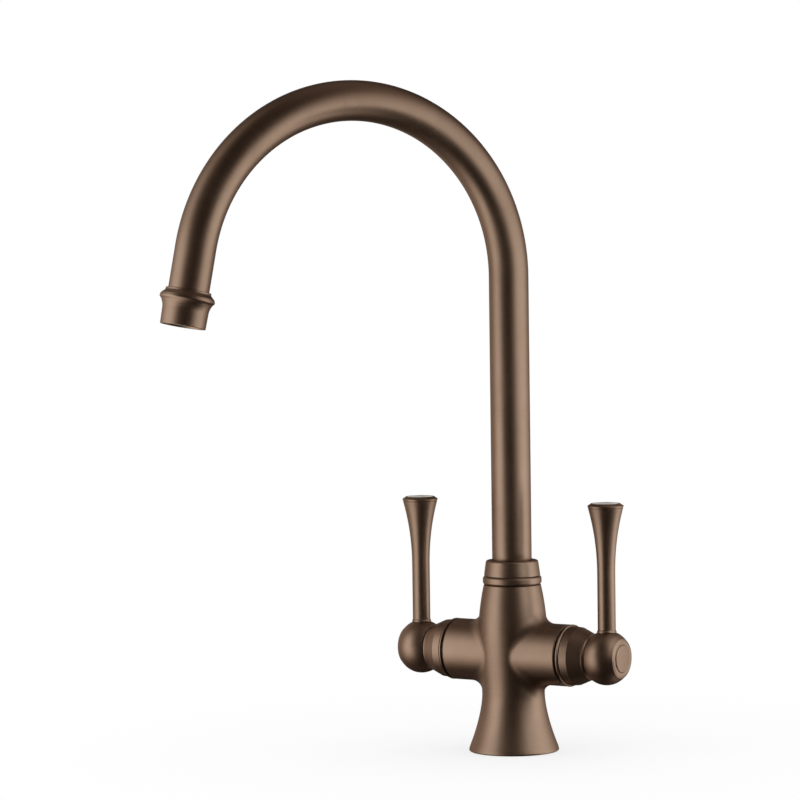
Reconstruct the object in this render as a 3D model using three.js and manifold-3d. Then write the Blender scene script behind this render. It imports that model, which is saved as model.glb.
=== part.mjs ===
// Two handle kitchen faucet: a flared bronze body with a swivelling swan-neck spout,
// a quarter-turn valve in each arm, ball hubs and trumpet levers.
// Millimetres, +Z up. The origin is the centre of the underside, on the worktop.
// X runs along the handle axis, hot at -X and cold at +X. The user stands at -Y.

import * as THREE from 'three';
import { mergeVertices } from 'three/addons/utils/BufferGeometryUtils.js';
import Module from 'manifold-3d';

const wasm = await Module();
wasm.setup();

// ---- Clearances -------------------------------------------------------------------------

const FIT = 0.3;                 // between pieces that touch
const RUN = 0.4;                 // radial, between pieces that turn in each other
const SEAL_GAP = 0.1;            // radial, an O-ring to the walls on each side of it
const PAST = 1;                  // how far a cutting tool runs past the face it opens
const ROUND_MIDDLE = 1 - Math.SQRT1_2;   // a round edge's middle inside its corner, per radius

// ---- Driving sizes: body ----------------------------------------------------------------

const BASE_RADIUS = 25.3;
const BASE_EDGE = 0.9;           // height of the rounded bottom edge
const WAIST_RADIUS = 17.45;
const WAIST_HEIGHT = 31.5;
const FLARE_POWER = 1.6;         // how late the skirt flares out
const BELLY_RADIUS = 19.3;
const BELLY_RISE = 7;            // belly above the handle axis
const SHOULDER_RADIUS = 15.9;
const SHOULDER_HEIGHT = 92.9;
const SHOULDER_EDGE = 0.5;
const HANDLE_AXIS_HEIGHT = 55;
const ARM_RADIUS = 17.1;
const ARM_REACH = 36;
const ARM_EDGE = 0.5;
const ARM_FILLET = 8;            // rolling-ball radius where an arm leaves the trunk

// ---- Driving sizes: waterways and underside ---------------------------------------------

const SPOUT_BORE_DEPTH = 21.2;   // below the shoulder
const PORT_OFFSET = 9.5;         // hose port and its riser, from the centre
const PORT_RADIUS = 4.6;
const PORT_DEPTH = 14;
const RISER_RADIUS = 2.8;
const CROSS_PORT_RADIUS = 3.4;
const MIX_PORT_RADIUS = 2.8;
const STUD_OFFSET = 13.5;
const STUD_HOLE_RADIUS = 3.6;
const STUD_HOLE_DEPTH = 16;
const GASKET_INNER = 20.4;
const GASKET_OUTER = 22.8;
const GASKET_HEIGHT = 2.2;

// ---- Driving sizes: spout ---------------------------------------------------------------

const TUBE_RADIUS = 11;
const TUBE_WALL = 1.2;
const ARC_CENTRE_HEIGHT = 264.2;
const BEND_RADIUS = 97;
const BEND_SWEEP = THREE.MathUtils.degToRad(168.6);
const TAIL_LENGTH = 22.8;        // straight tube that shows past the bend
const SPOUT_TURN = THREE.MathUtils.degToRad(27.8);   // resting swing from -Y towards -X

const NECK_WALL = 1.5;
const BEAD_HEIGHT = 4.4;
const BEAD_RADIUS = 16.35;
const SLEEVE_HEIGHT = 8.6;
const SLEEVE_FOOT_RADIUS = 15.65;
const SLEEVE_TOP_RADIUS = 14.5;
const SLEEVE_EDGE = 1.1;
const LIP_THICKNESS = 2.9;
const WASHER_THICKNESS = 0.9;
const KEEPER_THICKNESS = 1.2;
const KEEPER_DEPTH = 1.2;        // how deep the keeper sits in the spigot
const KEEPER_SPLIT = THREE.MathUtils.degToRad(24);
const SPIGOT_DROP = 16.7;        // the spigot's foot below the shoulder
const SPIGOT_EDGE = 0.5;         // chamfer that leads the spigot into its bore
const SPIGOT_SOCKET = 13;        // length brazed into the tube
const SPIGOT_BORE = 7.4;
const SEAL_DEPTH = 1.7;
const SEAL_GROOVE = 2.6;
const SEAL_DROPS = [12.2, 3.2];  // middles of the two grooves, below the shoulder

// ---- Driving sizes: nozzle --------------------------------------------------------------

const NOZZLE_LENGTH = 19.5;
const NOZZLE_TOP_RADIUS = 12.2;
const NOZZLE_RIDGE_RADIUS = 14.7;
const NOZZLE_RIDGE_DROP = 4.9;
const NOZZLE_SKIRT_RADIUS = 12.65;
const NOZZLE_SKIRT_DROP = 10;
const NOZZLE_RIM_RADIUS = 12.25; // the skirt tapers a little towards its rim
const NOZZLE_NECK_SHARE = 0.35;  // of the drop to the ridge, where the neck starts to swell
const NOZZLE_SWELL_SHARE = 0.75; // and where it has nearly reached the ridge
const NOZZLE_SWELL = 0.3;        // from straight lines at these two points
const NOZZLE_EDGE = 0.8;
const NOZZLE_SOCKET = 5;         // how far the tube enters
const AERATOR_RADIUS = 10.4;
const AERATOR_DROP = 10.4;
const AERATOR_RECESS = 0.9;      // the aerator's face above the rim
const AERATOR_FLOOR = 2;
const AERATOR_WALL = 1.4;
const AERATOR_SEAL_THICKNESS = 1.8;
const AERATOR_SEAL_WIDTH = 2.4;
const AERATOR_HOLE = 0.9;
const AERATOR_RINGS = [[3.2, 6], [6.4, 10]];   // circle radius and holes on it
const SCREEN_THICKNESS = 0.6;

// ---- Driving sizes: valves --------------------------------------------------------------

const VALVE_FLOOR = 15;          // bottom of the arm's bore, from the centre
const VALVE_RADIUS = 10.8;
const VALVE_WAIST = 9.6;         // round the water windows
const VALVE_WAIST_LENGTH = 11.5;
const VALVE_HEX = 20;            // across flats
const VALVE_HEX_LENGTH = 4;
const VALVE_LAND_RADIUS = 11.6;
const VALVE_LAND_LENGTH = 4;
const CHAMBER_RADIUS = 8.3;
const WINDOW_WIDTH = 7;
const WINDOW_LENGTH = 3.6;
const SEAT_THICKNESS = 1.8;
const SEAT_BORE = 4.4;
const DISC_THICKNESS = 2.4;
const DISC_SLOT_INNER = 2.2;
const DISC_SLOT_OUTER = 6;
const DISC_SLOT_ANGLE = THREE.MathUtils.degToRad(76);
const DRIVER_THICKNESS = 2.2;
const SPINDLE_RADIUS = 3.9;
const SPINDLE_SEAL_GROOVE = 2;
const SPINDLE_SEAL_DEPTH = 1;
const SPINDLE_SEAL_AT = 6;       // from the driver to the groove
const CLIP_THICKNESS = 1;
const CLIP_RADIUS = 5.6;
const CLIP_DEPTH = 0.6;
const CLIP_SPLIT = THREE.MathUtils.degToRad(70);
const SPLINE_TEETH = 12;
const SPLINE_DEPTH = 0.6;
const SPLINE_LENGTH = 6;

// ---- Driving sizes: shrouds, hubs and levers --------------------------------------------

const RING_STEP = 1;             // the dark step between arm and ring
const RING_STEP_RADIUS = 15.8;
const RING_THICKNESS = 1.2;
const RING_RADIUS = 17.2;
const RING_EDGE = 0.3;
const SHROUD_LENGTH = 13.4;
const SHROUD_RADIUS = 16.4;
const SHROUD_BAND = 4.6;         // length of the nearly straight band before the cone
const SHROUD_BAND_RADIUS = 16;   // where the band ends in a crease
const SHROUD_MOUTH_RADIUS = 12.4;
const SHROUD_WALL = 2;
const SHROUD_HOLE = 6.4;

const HUB_RADIUS = 15;
const HUB_BACK = 7.9;            // the hub's centre and the lever's axis, from its flat inner end
const HUB_INNER_AXIS = 13.9;     // half axis of the hub's shape towards the body
const HUB_OUTER_AXIS = 13.2;     // and away from it
const HUB_FACE = 10.1;           // flat outer end, from the hub's centre
const HUB_SHOULDER = 8.2;        // where the end starts to round over
const CAP_RADIUS = 7.4;
const CAP_THICKNESS = 1.4;
const CAP_CROWN = 0.4;
const SCREW_RADIUS = 2.4;
const SCREW_HEAD_RADIUS = 4.3;
const SCREW_HEAD_HEIGHT = 2.9;
const SCREW_GRIP = 5;            // thread in the spindle
const SCREW_KEY = 3;             // hexagon across flats
const SCREW_KEY_DEPTH = 1.8;

const LEVER_TOP = 140.3;
const LEVER_ROD_RADIUS = 4.95;
const LEVER_RIM_RADIUS = 10;
const LEVER_FLARE = 38;          // length of the trumpet
const LEVER_FLARE_POWER = 2.15;
const LEVER_EDGE = 1.6;          // height of the slope from the rim up to the index disc
const LEVER_SPOT = 14;           // flat on the hub under the rod, above the hub's centre
const LEVER_TAIL_RADIUS = 2.9;
const LEVER_TAIL = 6.5;
const INDEX_RADIUS = 7.3;
const INDEX_THICKNESS = 1.5;

// ---- Facets -----------------------------------------------------------------------------

const SIDES = 24;                // large round pieces
const SIDES_SMALL = 16;
const SIDES_FINE = 12;           // holes, screws and other small rounds
const SIDES_JET = 6;             // the aerator's holes
const SIDES_SEAL = 6;            // an O-ring's own section
const FLARE_STEPS = 7;           // the trunk's flare, its belly and its shoulder
const BELLY_STEPS = 4;
const SHOULDER_STEPS = 5;
const FILLET_STEPS = 3;
const BEAD_STEPS = 4;
const SLEEVE_STEPS = 2;
const COLUMN_STEPS = 2;
const BEND_STEPS = 22;
const NOZZLE_STEPS = 4;
const HUB_STEPS = 8;
const TRUMPET_STEPS = 9;
const KEEPER_SEGMENTS = 14;      // for each of a split ring's two arcs
const CLIP_SEGMENTS = 7;
const SLOT_SEGMENTS = 4;         // for each arc of a slotted disc

// ---- Finishes ---------------------------------------------------------------------------

const finish = (color, roughness, metalness) =>
  new THREE.MeshStandardMaterial({ color, roughness, metalness });
const BRONZE = finish(0x6e5544, 0.38, 1);
const BRASS = finish(0xb5965a, 0.35, 1);
const STEEL = finish(0xb9bcbe, 0.3, 1);
const CERAMIC = finish(0xf0ede6, 0.25, 0);
const ENAMEL = finish(0xe9e4da, 0.3, 0);
const RUBBER = finish(0x1b1b1c, 0.8, 0);
const NYLON = finish(0xe6e2d8, 0.5, 0);
const GREY_PLASTIC = finish(0x8d8f90, 0.45, 0);

// ---- Geometry helpers -------------------------------------------------------------------

// Shared corners are merged, empty faces dropped and the faces turned outwards.
function weld(geometry) {
  geometry.deleteAttribute('normal');
  geometry.deleteAttribute('uv');
  const merged = mergeVertices(geometry, 1e-4);
  const place = merged.attributes.position;
  const index = merged.index.array;
  const faces = [];
  let volume = 0;
  const [a, b, c] = [new THREE.Vector3(), new THREE.Vector3(), new THREE.Vector3()];
  for (let i = 0; i < index.length; i += 3) {
    const [p, q, r] = [index[i], index[i + 1], index[i + 2]];
    if (p === q || q === r || r === p) continue;
    faces.push([p, q, r]);
    a.fromBufferAttribute(place, p);
    b.fromBufferAttribute(place, q);
    c.fromBufferAttribute(place, r);
    volume += a.dot(b.cross(c));
  }
  merged.setIndex(faces.flatMap(([p, q, r]) => (volume > 0 ? [p, q, r] : [p, r, q])));
  return merged;
}

function solid(geometry) {
  const closed = weld(geometry);
  const mesh = new wasm.Mesh({
    numProp: 3,
    vertProperties: Float32Array.from(closed.attributes.position.array),
    triVerts: Uint32Array.from(closed.index.array),
  });
  return new wasm.Manifold(mesh);
}

function surface(body) {
  const mesh = body.getMesh();
  const geometry = new THREE.BufferGeometry();
  geometry.setAttribute('position', new THREE.BufferAttribute(mesh.vertProperties, 3));
  geometry.setIndex(new THREE.BufferAttribute(mesh.triVerts, 1));
  return geometry;
}

const join = (first, ...others) => others.reduce((sum, other) => sum.add(other), first);
const cut = (first, ...others) => others.reduce((rest, other) => rest.subtract(other), first);

// A profile of [radius, height] pairs turned about +Z. It ends on the axis or closes.
function turned(profile, sides = SIDES) {
  const points = profile.map(([radius, height]) => new THREE.Vector2(radius, height));
  return weld(new THREE.LatheGeometry(points, sides).rotateX(Math.PI / 2));
}

// A turned ring or sleeve, closed through its bore.
function turnedRing(profile, sides = SIDES) {
  return turned([...profile, profile[0]], sides);
}

const plainRing = (inner, outer, low, high, sides = SIDES) =>
  turnedRing([[inner, low], [outer, low], [outer, high], [inner, high]], sides);

const rod = (radius, low, high, sides = SIDES_FINE) =>
  turned([[0, low], [radius, low], [radius, high], [0, high]], sides);

// Turned shapes have their axis along +Z. This lays it along +X, inner end first.
const alongX = (geometry) => geometry.rotateY(Math.PI / 2);

// Points of a curve height -> radius, from low to high, both ends included.
function curvePoints(low, high, count, radiusAt) {
  return Array.from({ length: count + 1 }, (_, i) => {
    const height = low + ((high - low) * i) / count;
    return [radiusAt(height), height];
  });
}

// A round O-ring between two walls, with a gap to each.
function sealRing(innerWall, outerWall, height) {
  const middle = (innerWall + outerWall) / 2;
  const section = (outerWall - innerWall) / 2 - SEAL_GAP;
  const points = Array.from({ length: SIDES_SEAL }, (_, i) => {
    const angle = (2 * Math.PI * i) / SIDES_SEAL;
    return [middle + section * Math.cos(angle), height + section * Math.sin(angle)];
  });
  return turnedRing(points, SIDES_SMALL);
}

// A flat C-shaped ring, split at +X.
function splitRing(inner, outer, low, thickness, split, segments) {
  const shape = new THREE.Shape();
  shape.absarc(0, 0, outer, split / 2, 2 * Math.PI - split / 2, false);
  shape.absarc(0, 0, inner, 2 * Math.PI - split / 2, split / 2, true);
  const options = { depth: thickness, bevelEnabled: false, curveSegments: segments };
  return weld(new THREE.ExtrudeGeometry(shape, options).translate(0, 0, low));
}

// A prism on a polygon of [x, y] corners.
function prism(corners, low, high) {
  const shape = new THREE.Shape(corners.map(([x, y]) => new THREE.Vector2(x, y)));
  const options = { depth: high - low, bevelEnabled: false };
  return weld(new THREE.ExtrudeGeometry(shape, options).translate(0, 0, low));
}

function hexagon(acrossFlats) {
  const corner = acrossFlats / Math.sqrt(3);
  return Array.from({ length: 6 }, (_, i) => {
    const angle = (Math.PI * i) / 3;
    return [corner * Math.cos(angle), corner * Math.sin(angle)];
  });
}

// Spline teeth as a star polygon. Growth widens it all round for the mating hole.
function splineOutline(growth) {
  return Array.from({ length: 4 * SPLINE_TEETH }, (_, i) => {
    const onCrest = i % 4 < 2;
    const radius = SPINDLE_RADIUS + growth - (onCrest ? 0 : SPLINE_DEPTH);
    const angle = (2 * Math.PI * (i + 0.5)) / (4 * SPLINE_TEETH);
    return [radius * Math.cos(angle), radius * Math.sin(angle)];
  });
}

// ---- The assembly's groups --------------------------------------------------------------

const faucet = new THREE.Group();

function add(parent, name, geometry, material) {
  const mesh = new THREE.Mesh(geometry, material);
  mesh.name = name;
  parent.add(mesh);
}

// ---- Heights and reaches worked out from the driving sizes --------------------------------

const boreRadius = TUBE_RADIUS + RUN;
const neckRadius = boreRadius + NECK_WALL;
const collarBore = neckRadius + FIT;
const spoutBoreFloor = SHOULDER_HEIGHT - SPOUT_BORE_DEPTH;
const spigotFoot = SHOULDER_HEIGHT - SPIGOT_DROP;
const sealHeights = SEAL_DROPS.map((drop) => SHOULDER_HEIGHT - drop);
const beadLow = SHOULDER_HEIGHT + FIT;
const beadHigh = beadLow + BEAD_HEIGHT;
const sleeveLow = beadHigh + FIT;
const sleeveHigh = sleeveLow + SLEEVE_HEIGHT;
const lipUnder = sleeveHigh - LIP_THICKNESS;
const upperWasherLow = lipUnder - FIT - WASHER_THICKNESS;
const keeperLow = upperWasherLow - FIT - KEEPER_THICKNESS;
const lowerWasherLow = keeperLow - FIT - WASHER_THICKNESS;
const neckTop = lowerWasherLow - FIT;
const spigotShoulder = lipUnder + FIT;
const tubeLow = spigotShoulder + FIT;

const valveBore = VALVE_RADIUS + FIT;
const valveLow = VALVE_FLOOR + FIT;
const seatLow = valveLow + FIT;
const fixedDiscLow = seatLow + SEAT_THICKNESS + FIT;
const movingDiscLow = fixedDiscLow + DISC_THICKNESS + FIT;
const driverLow = movingDiscLow + DISC_THICKNESS + FIT;
const driverHigh = driverLow + DRIVER_THICKNESS;
const chamberHigh = driverHigh + FIT;
const hexLow = ARM_REACH + FIT;
const hexHigh = hexLow + VALVE_HEX_LENGTH;
const landHigh = hexHigh + VALVE_LAND_LENGTH;
const clipLow = landHigh + FIT;
const ringLow = ARM_REACH + FIT;
const ringHigh = ringLow + RING_STEP + RING_THICKNESS;
const shroudLow = ringHigh + FIT;
const shroudHigh = shroudLow + SHROUD_LENGTH;
const hubLow = shroudHigh + FIT;
const hubReach = hubLow + HUB_BACK;
const hubHigh = hubReach + HUB_FACE;
const splineLow = hubLow - FIT;
const spindleHigh = splineLow + SPLINE_LENGTH;
const capFloor = hubHigh - CAP_THICKNESS;
const headLow = capFloor - FIT - SCREW_HEAD_HEIGHT;
const leverLow = HANDLE_AXIS_HEIGHT + LEVER_SPOT + FIT;

// ---- Body casting -----------------------------------------------------------------------

// Trunk radius at a height: a flared skirt, a waist, a belly at the arms and a shoulder.
function trunkRadius(height) {
  const belly = HANDLE_AXIS_HEIGHT + BELLY_RISE;
  if (height <= WAIST_HEIGHT) {
    const share = (WAIST_HEIGHT - Math.max(height, BASE_EDGE)) / (WAIST_HEIGHT - BASE_EDGE);
    return WAIST_RADIUS + (BASE_RADIUS - WAIST_RADIUS) * share ** FLARE_POWER;
  }
  if (height <= belly) {
    const share = (height - WAIST_HEIGHT) / (belly - WAIST_HEIGHT);
    return WAIST_RADIUS + ((BELLY_RADIUS - WAIST_RADIUS) * (1 - Math.cos(Math.PI * share))) / 2;
  }
  const share = (height - belly) / (SHOULDER_HEIGHT - belly);
  return BELLY_RADIUS - (BELLY_RADIUS - SHOULDER_RADIUS) * share ** 2;
}

function trunk() {
  const belly = HANDLE_AXIS_HEIGHT + BELLY_RISE;
  const shoulderLow = SHOULDER_HEIGHT - SHOULDER_EDGE;
  return turned([
    [0, 0],
    [BASE_RADIUS - BASE_EDGE, 0],
    ...curvePoints(BASE_EDGE, WAIST_HEIGHT, FLARE_STEPS, trunkRadius),
    ...curvePoints(WAIST_HEIGHT, belly, BELLY_STEPS, trunkRadius).slice(1),
    ...curvePoints(belly, shoulderLow, SHOULDER_STEPS, trunkRadius).slice(1),
    [SHOULDER_RADIUS - SHOULDER_EDGE, SHOULDER_HEIGHT],
    [neckRadius, SHOULDER_HEIGHT],
    [neckRadius, neckTop],
    [0, neckTop],
  ]);
}

function arms() {
  return alongX(turned([
    [0, -ARM_REACH],
    [ARM_RADIUS - ARM_EDGE, -ARM_REACH],
    [ARM_RADIUS, -ARM_REACH + ARM_EDGE],
    [ARM_RADIUS, ARM_REACH - ARM_EDGE],
    [ARM_RADIUS - ARM_EDGE, ARM_REACH],
    [0, ARM_REACH],
  ])).translate(0, 0, HANDLE_AXIS_HEIGHT);
}

// The web that a rolling ball leaves in the corner between one arm and the trunk. For each
// angle round the arm, the ball's centre lies on both surfaces offset by its radius. The
// section runs from the arm along the ball to the trunk and back through the metal.
function armFillet(side) {
  const stations = SIDES;
  const bite = 0.15;             // how far the web's edges lie under both skins
  const sections = Array.from({ length: stations }, (_, i) => {
    const angle = (2 * Math.PI * i) / stations;
    const outward = new THREE.Vector3(0, Math.cos(angle), Math.sin(angle));
    const centre = outward.clone().multiplyScalar(ARM_RADIUS + ARM_FILLET);
    const trunkHere = trunkRadius(HANDLE_AXIS_HEIGHT + centre.z);
    centre.x = Math.sqrt((trunkHere + ARM_FILLET) ** 2 - centre.y ** 2);
    const toArm = outward.clone().negate();
    const toTrunk = new THREE.Vector3(-centre.x, -centre.y, 0).normalize();
    const ball = Array.from({ length: FILLET_STEPS + 1 }, (_, j) => {
      const way = toArm.clone().lerp(toTrunk, j / FILLET_STEPS).normalize();
      const reach = ARM_FILLET + (j === 0 || j === FILLET_STEPS ? bite : 0);
      return centre.clone().addScaledVector(way, reach);
    });
    const crease = ARM_FILLET / Math.cos(toArm.angleTo(toTrunk) / 2);
    const deeper = toArm.clone().add(toTrunk).normalize();
    return [...ball, centre.clone().addScaledVector(deeper, crease + ARM_FILLET / 2)];
  });
  const around = sections[0].length;
  const corners = sections.flat().map((p) => [side * p.x, p.y, HANDLE_AXIS_HEIGHT + p.z]);
  const index = [];
  for (let i = 0; i < stations; i += 1) {
    for (let j = 0; j < around; j += 1) {
      const [next, along] = [(i + 1) % stations, (j + 1) % around];
      const [a, b] = [i * around + j, next * around + j];
      const [c, d] = [next * around + along, i * around + along];
      index.push(a, b, c, a, c, d);
    }
  }
  const web = new THREE.BufferGeometry();
  web.setAttribute('position', new THREE.Float32BufferAttribute(corners.flat(), 3));
  web.setIndex(index);
  return web;
}

// A drilling from one point to another.
function drilling(radius, from, to) {
  const way = to.clone().sub(from);
  const turn = new THREE.Quaternion().setFromUnitVectors(
    new THREE.Vector3(0, 0, 1),
    way.clone().normalize(),
  );
  return rod(radius, 0, way.length()).applyQuaternion(turn).translate(from.x, from.y, from.z);
}

function sideWaterways(side) {
  const at = (x, z) => new THREE.Vector3(side * x, 0, z);
  const stepDown = CROSS_PORT_RADIUS + RISER_RADIUS;
  const armBore = rod(valveBore, VALVE_FLOOR, ARM_REACH + PAST, SIDES);
  const place = (geometry) => (side > 0 ? geometry : geometry.rotateZ(Math.PI));
  const mixLow = at(VALVE_FLOOR + MIX_PORT_RADIUS, HANDLE_AXIS_HEIGHT + valveBore - MIX_PORT_RADIUS);
  const mixHigh = at(boreRadius - stepDown, spoutBoreFloor + MIX_PORT_RADIUS / 2);
  return [
    place(alongX(armBore)).translate(0, 0, HANDLE_AXIS_HEIGHT),
    rod(PORT_RADIUS, -PAST, PORT_DEPTH).translate(side * PORT_OFFSET, 0, 0),
    drilling(RISER_RADIUS, at(PORT_OFFSET, PORT_DEPTH - PAST), at(PORT_OFFSET, HANDLE_AXIS_HEIGHT)),
    drilling(
      CROSS_PORT_RADIUS,
      at(PORT_OFFSET - RISER_RADIUS, HANDLE_AXIS_HEIGHT),
      at(VALVE_FLOOR + PAST, HANDLE_AXIS_HEIGHT),
    ),
    drilling(MIX_PORT_RADIUS, mixLow, mixHigh),
  ];
}

function bodyCasting() {
  const outside = join(solid(trunk()), solid(arms()), solid(armFillet(-1)), solid(armFillet(1)));
  const holes = [
    rod(boreRadius, spoutBoreFloor, neckTop + PAST, SIDES),
    ...sideWaterways(-1),
    ...sideWaterways(1),
    rod(STUD_HOLE_RADIUS, -PAST, STUD_HOLE_DEPTH).translate(0, STUD_OFFSET, 0),
    plainRing(GASKET_INNER - FIT, GASKET_OUTER + FIT, -PAST, GASKET_HEIGHT + FIT),
  ];
  return surface(cut(outside, ...holes.map(solid)));
}

add(faucet, 'body_casting', bodyCasting(), BRONZE);
add(faucet, 'base_gasket', plainRing(GASKET_INNER, GASKET_OUTER, 0, GASKET_HEIGHT), RUBBER);

// ---- Collar over the swivel -------------------------------------------------------------

function collarBead() {
  const bulge = (height) => {
    const share = (2 * (height - beadLow)) / BEAD_HEIGHT - 1;
    return SHOULDER_RADIUS + (BEAD_RADIUS - SHOULDER_RADIUS) * Math.sqrt(Math.max(1 - share ** 2, 0));
  };
  return turnedRing([
    [collarBore, beadLow],
    ...curvePoints(beadLow, beadHigh, BEAD_STEPS, bulge),
    [collarBore, beadHigh],
  ]);
}

function collarSleeve() {
  const edgeLow = sleeveHigh - SLEEVE_EDGE;
  const lean = (SLEEVE_FOOT_RADIUS - SLEEVE_TOP_RADIUS) / (edgeLow - sleeveLow);
  const sleeveRadius = (height) => SLEEVE_FOOT_RADIUS - lean * (height - sleeveLow);
  return turnedRing([
    [collarBore, sleeveLow],
    ...curvePoints(sleeveLow, edgeLow, SLEEVE_STEPS, sleeveRadius),
    [SLEEVE_TOP_RADIUS - SLEEVE_EDGE * ROUND_MIDDLE, sleeveHigh - SLEEVE_EDGE * ROUND_MIDDLE],
    [SLEEVE_TOP_RADIUS - SLEEVE_EDGE, sleeveHigh],
    [boreRadius, sleeveHigh],
    [boreRadius, lipUnder],
    [collarBore, lipUnder],
  ]);
}

add(faucet, 'collar_bead', collarBead(), BRONZE);
add(faucet, 'collar_sleeve', collarSleeve(), BRONZE);

const glideInner = TUBE_RADIUS + FIT;
const lowerWasherHigh = lowerWasherLow + WASHER_THICKNESS;
const upperWasherHigh = upperWasherLow + WASHER_THICKNESS;
const lowerWasher = plainRing(glideInner, neckRadius, lowerWasherLow, lowerWasherHigh, SIDES_SMALL);
const upperWasher = plainRing(glideInner, neckRadius, upperWasherLow, upperWasherHigh, SIDES_SMALL);
add(faucet, 'lower_glide_washer', lowerWasher, NYLON);
add(faucet, 'upper_glide_washer', upperWasher, NYLON);

// ---- Spout: everything that swings, built in the plane of its own bend ------------------------

const spout = new THREE.Group();
spout.rotation.z = -Math.PI / 2 - SPOUT_TURN;
faucet.add(spout);

// The spout's centre line in its plane: a straight column, a round bend and a straight tail.
class SpoutLine extends THREE.Curve {
  constructor(tail) {
    super();
    this.bendLength = BEND_RADIUS * BEND_SWEEP;
    this.column = ARC_CENTRE_HEIGHT - tubeLow;
    this.stops = [
      ...SpoutLine.spread(0, this.column, COLUMN_STEPS),
      ...SpoutLine.spread(this.column, this.column + this.bendLength, BEND_STEPS),
      this.column + this.bendLength,
      this.column + this.bendLength + tail,
    ];
  }

  static spread(from, to, count) {
    return Array.from({ length: count }, (_, i) => from + ((to - from) * i) / count);
  }

  get steps() {
    return this.stops.length - 1;
  }

  distance(share) {
    const place = share * this.steps;
    const low = Math.min(Math.floor(place), this.steps - 1);
    return this.stops[low] + (this.stops[low + 1] - this.stops[low]) * (place - low);
  }

  angleAt(share) {
    const along = (this.distance(share) - this.column) / BEND_RADIUS;
    return THREE.MathUtils.clamp(along, 0, BEND_SWEEP);
  }

  getPoint(share) {
    const run = this.distance(share);
    const angle = this.angleAt(share);
    const past = Math.max(run - this.column - this.bendLength, 0);
    const before = Math.min(run, this.column);
    const reach = BEND_RADIUS * (1 - Math.cos(angle)) + past * Math.sin(angle);
    const rise = BEND_RADIUS * Math.sin(angle) + past * Math.cos(angle);
    return new THREE.Vector3(reach, 0, tubeLow + before + rise);
  }

  getPointAt(share) {
    return this.getPoint(share);
  }

  getTangentAt(share) {
    const angle = this.angleAt(share);
    return new THREE.Vector3(Math.sin(angle), 0, Math.cos(angle));
  }
}

function spoutTube() {
  const innerRadius = TUBE_RADIUS - TUBE_WALL;
  const section = new THREE.Shape().absarc(0, 0, TUBE_RADIUS, 0, 2 * Math.PI, false);
  const bore = Array.from({ length: SIDES_FINE }, (_, i) => {
    const angle = (2 * Math.PI * i) / SIDES_FINE;
    return new THREE.Vector2(innerRadius * Math.cos(angle), innerRadius * Math.sin(angle));
  });
  section.holes.push(new THREE.Path(bore));
  const path = new SpoutLine(TAIL_LENGTH + NOZZLE_SOCKET);
  const curveSegments = SIDES / 2;
  const options = { steps: path.steps, bevelEnabled: false, curveSegments, extrudePath: path };
  return weld(new THREE.ExtrudeGeometry(section, options));
}

function spoutSpigot() {
  const sealFloor = TUBE_RADIUS - SEAL_DEPTH;
  const keeperFloor = TUBE_RADIUS - KEEPER_DEPTH;
  const socketRadius = (TUBE_RADIUS - TUBE_WALL) * Math.cos(Math.PI / SIDES_FINE) - FIT;
  const grooves = [
    ...sealHeights.map((middle) => [middle - SEAL_GROOVE / 2, middle + SEAL_GROOVE / 2, sealFloor]),
    [keeperLow - FIT / 2, keeperLow + KEEPER_THICKNESS + FIT / 2, keeperFloor],
  ];
  return turnedRing([
    [SPIGOT_BORE, spigotFoot],
    [TUBE_RADIUS - SPIGOT_EDGE, spigotFoot],
    [TUBE_RADIUS, spigotFoot + SPIGOT_EDGE],
    ...grooves.flatMap(([low, high, floor]) => [
      [TUBE_RADIUS, low],
      [floor, low],
      [floor, high],
      [TUBE_RADIUS, high],
    ]),
    [TUBE_RADIUS, spigotShoulder],
    [socketRadius, spigotShoulder],
    [socketRadius, spigotShoulder + SPIGOT_SOCKET],
    [SPIGOT_BORE, spigotShoulder + SPIGOT_SOCKET],
  ], SIDES_SMALL);
}

add(spout, 'spout_tube', spoutTube(), BRONZE);
add(spout, 'spout_spigot', spoutSpigot(), BRASS);
for (const [i, middle] of sealHeights.entries()) {
  const seal = sealRing(TUBE_RADIUS - SEAL_DEPTH, boreRadius, middle);
  add(spout, `spout_o_ring_${i + 1}`, seal, RUBBER);
}
const keeperInner = TUBE_RADIUS - KEEPER_DEPTH + FIT;
const keeper = splitRing(
  keeperInner,
  neckRadius,
  keeperLow,
  KEEPER_THICKNESS,
  KEEPER_SPLIT,
  KEEPER_SEGMENTS,
);
add(spout, 'spout_keeper_ring', keeper, STEEL);

// ---- Nozzle and aerator, built downwards from the end of the visible tube ---------------------

const nozzle = new THREE.Group();
const tailEnd = new SpoutLine(TAIL_LENGTH).getPoint(1);
nozzle.position.copy(tailEnd);
nozzle.rotation.y = BEND_SWEEP - Math.PI;
spout.add(nozzle);

const socketBore = TUBE_RADIUS + FIT;
const aeratorBore = AERATOR_RADIUS + FIT;
const throat = TUBE_RADIUS - TUBE_WALL;
const sealLow = AERATOR_DROP - FIT;

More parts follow.
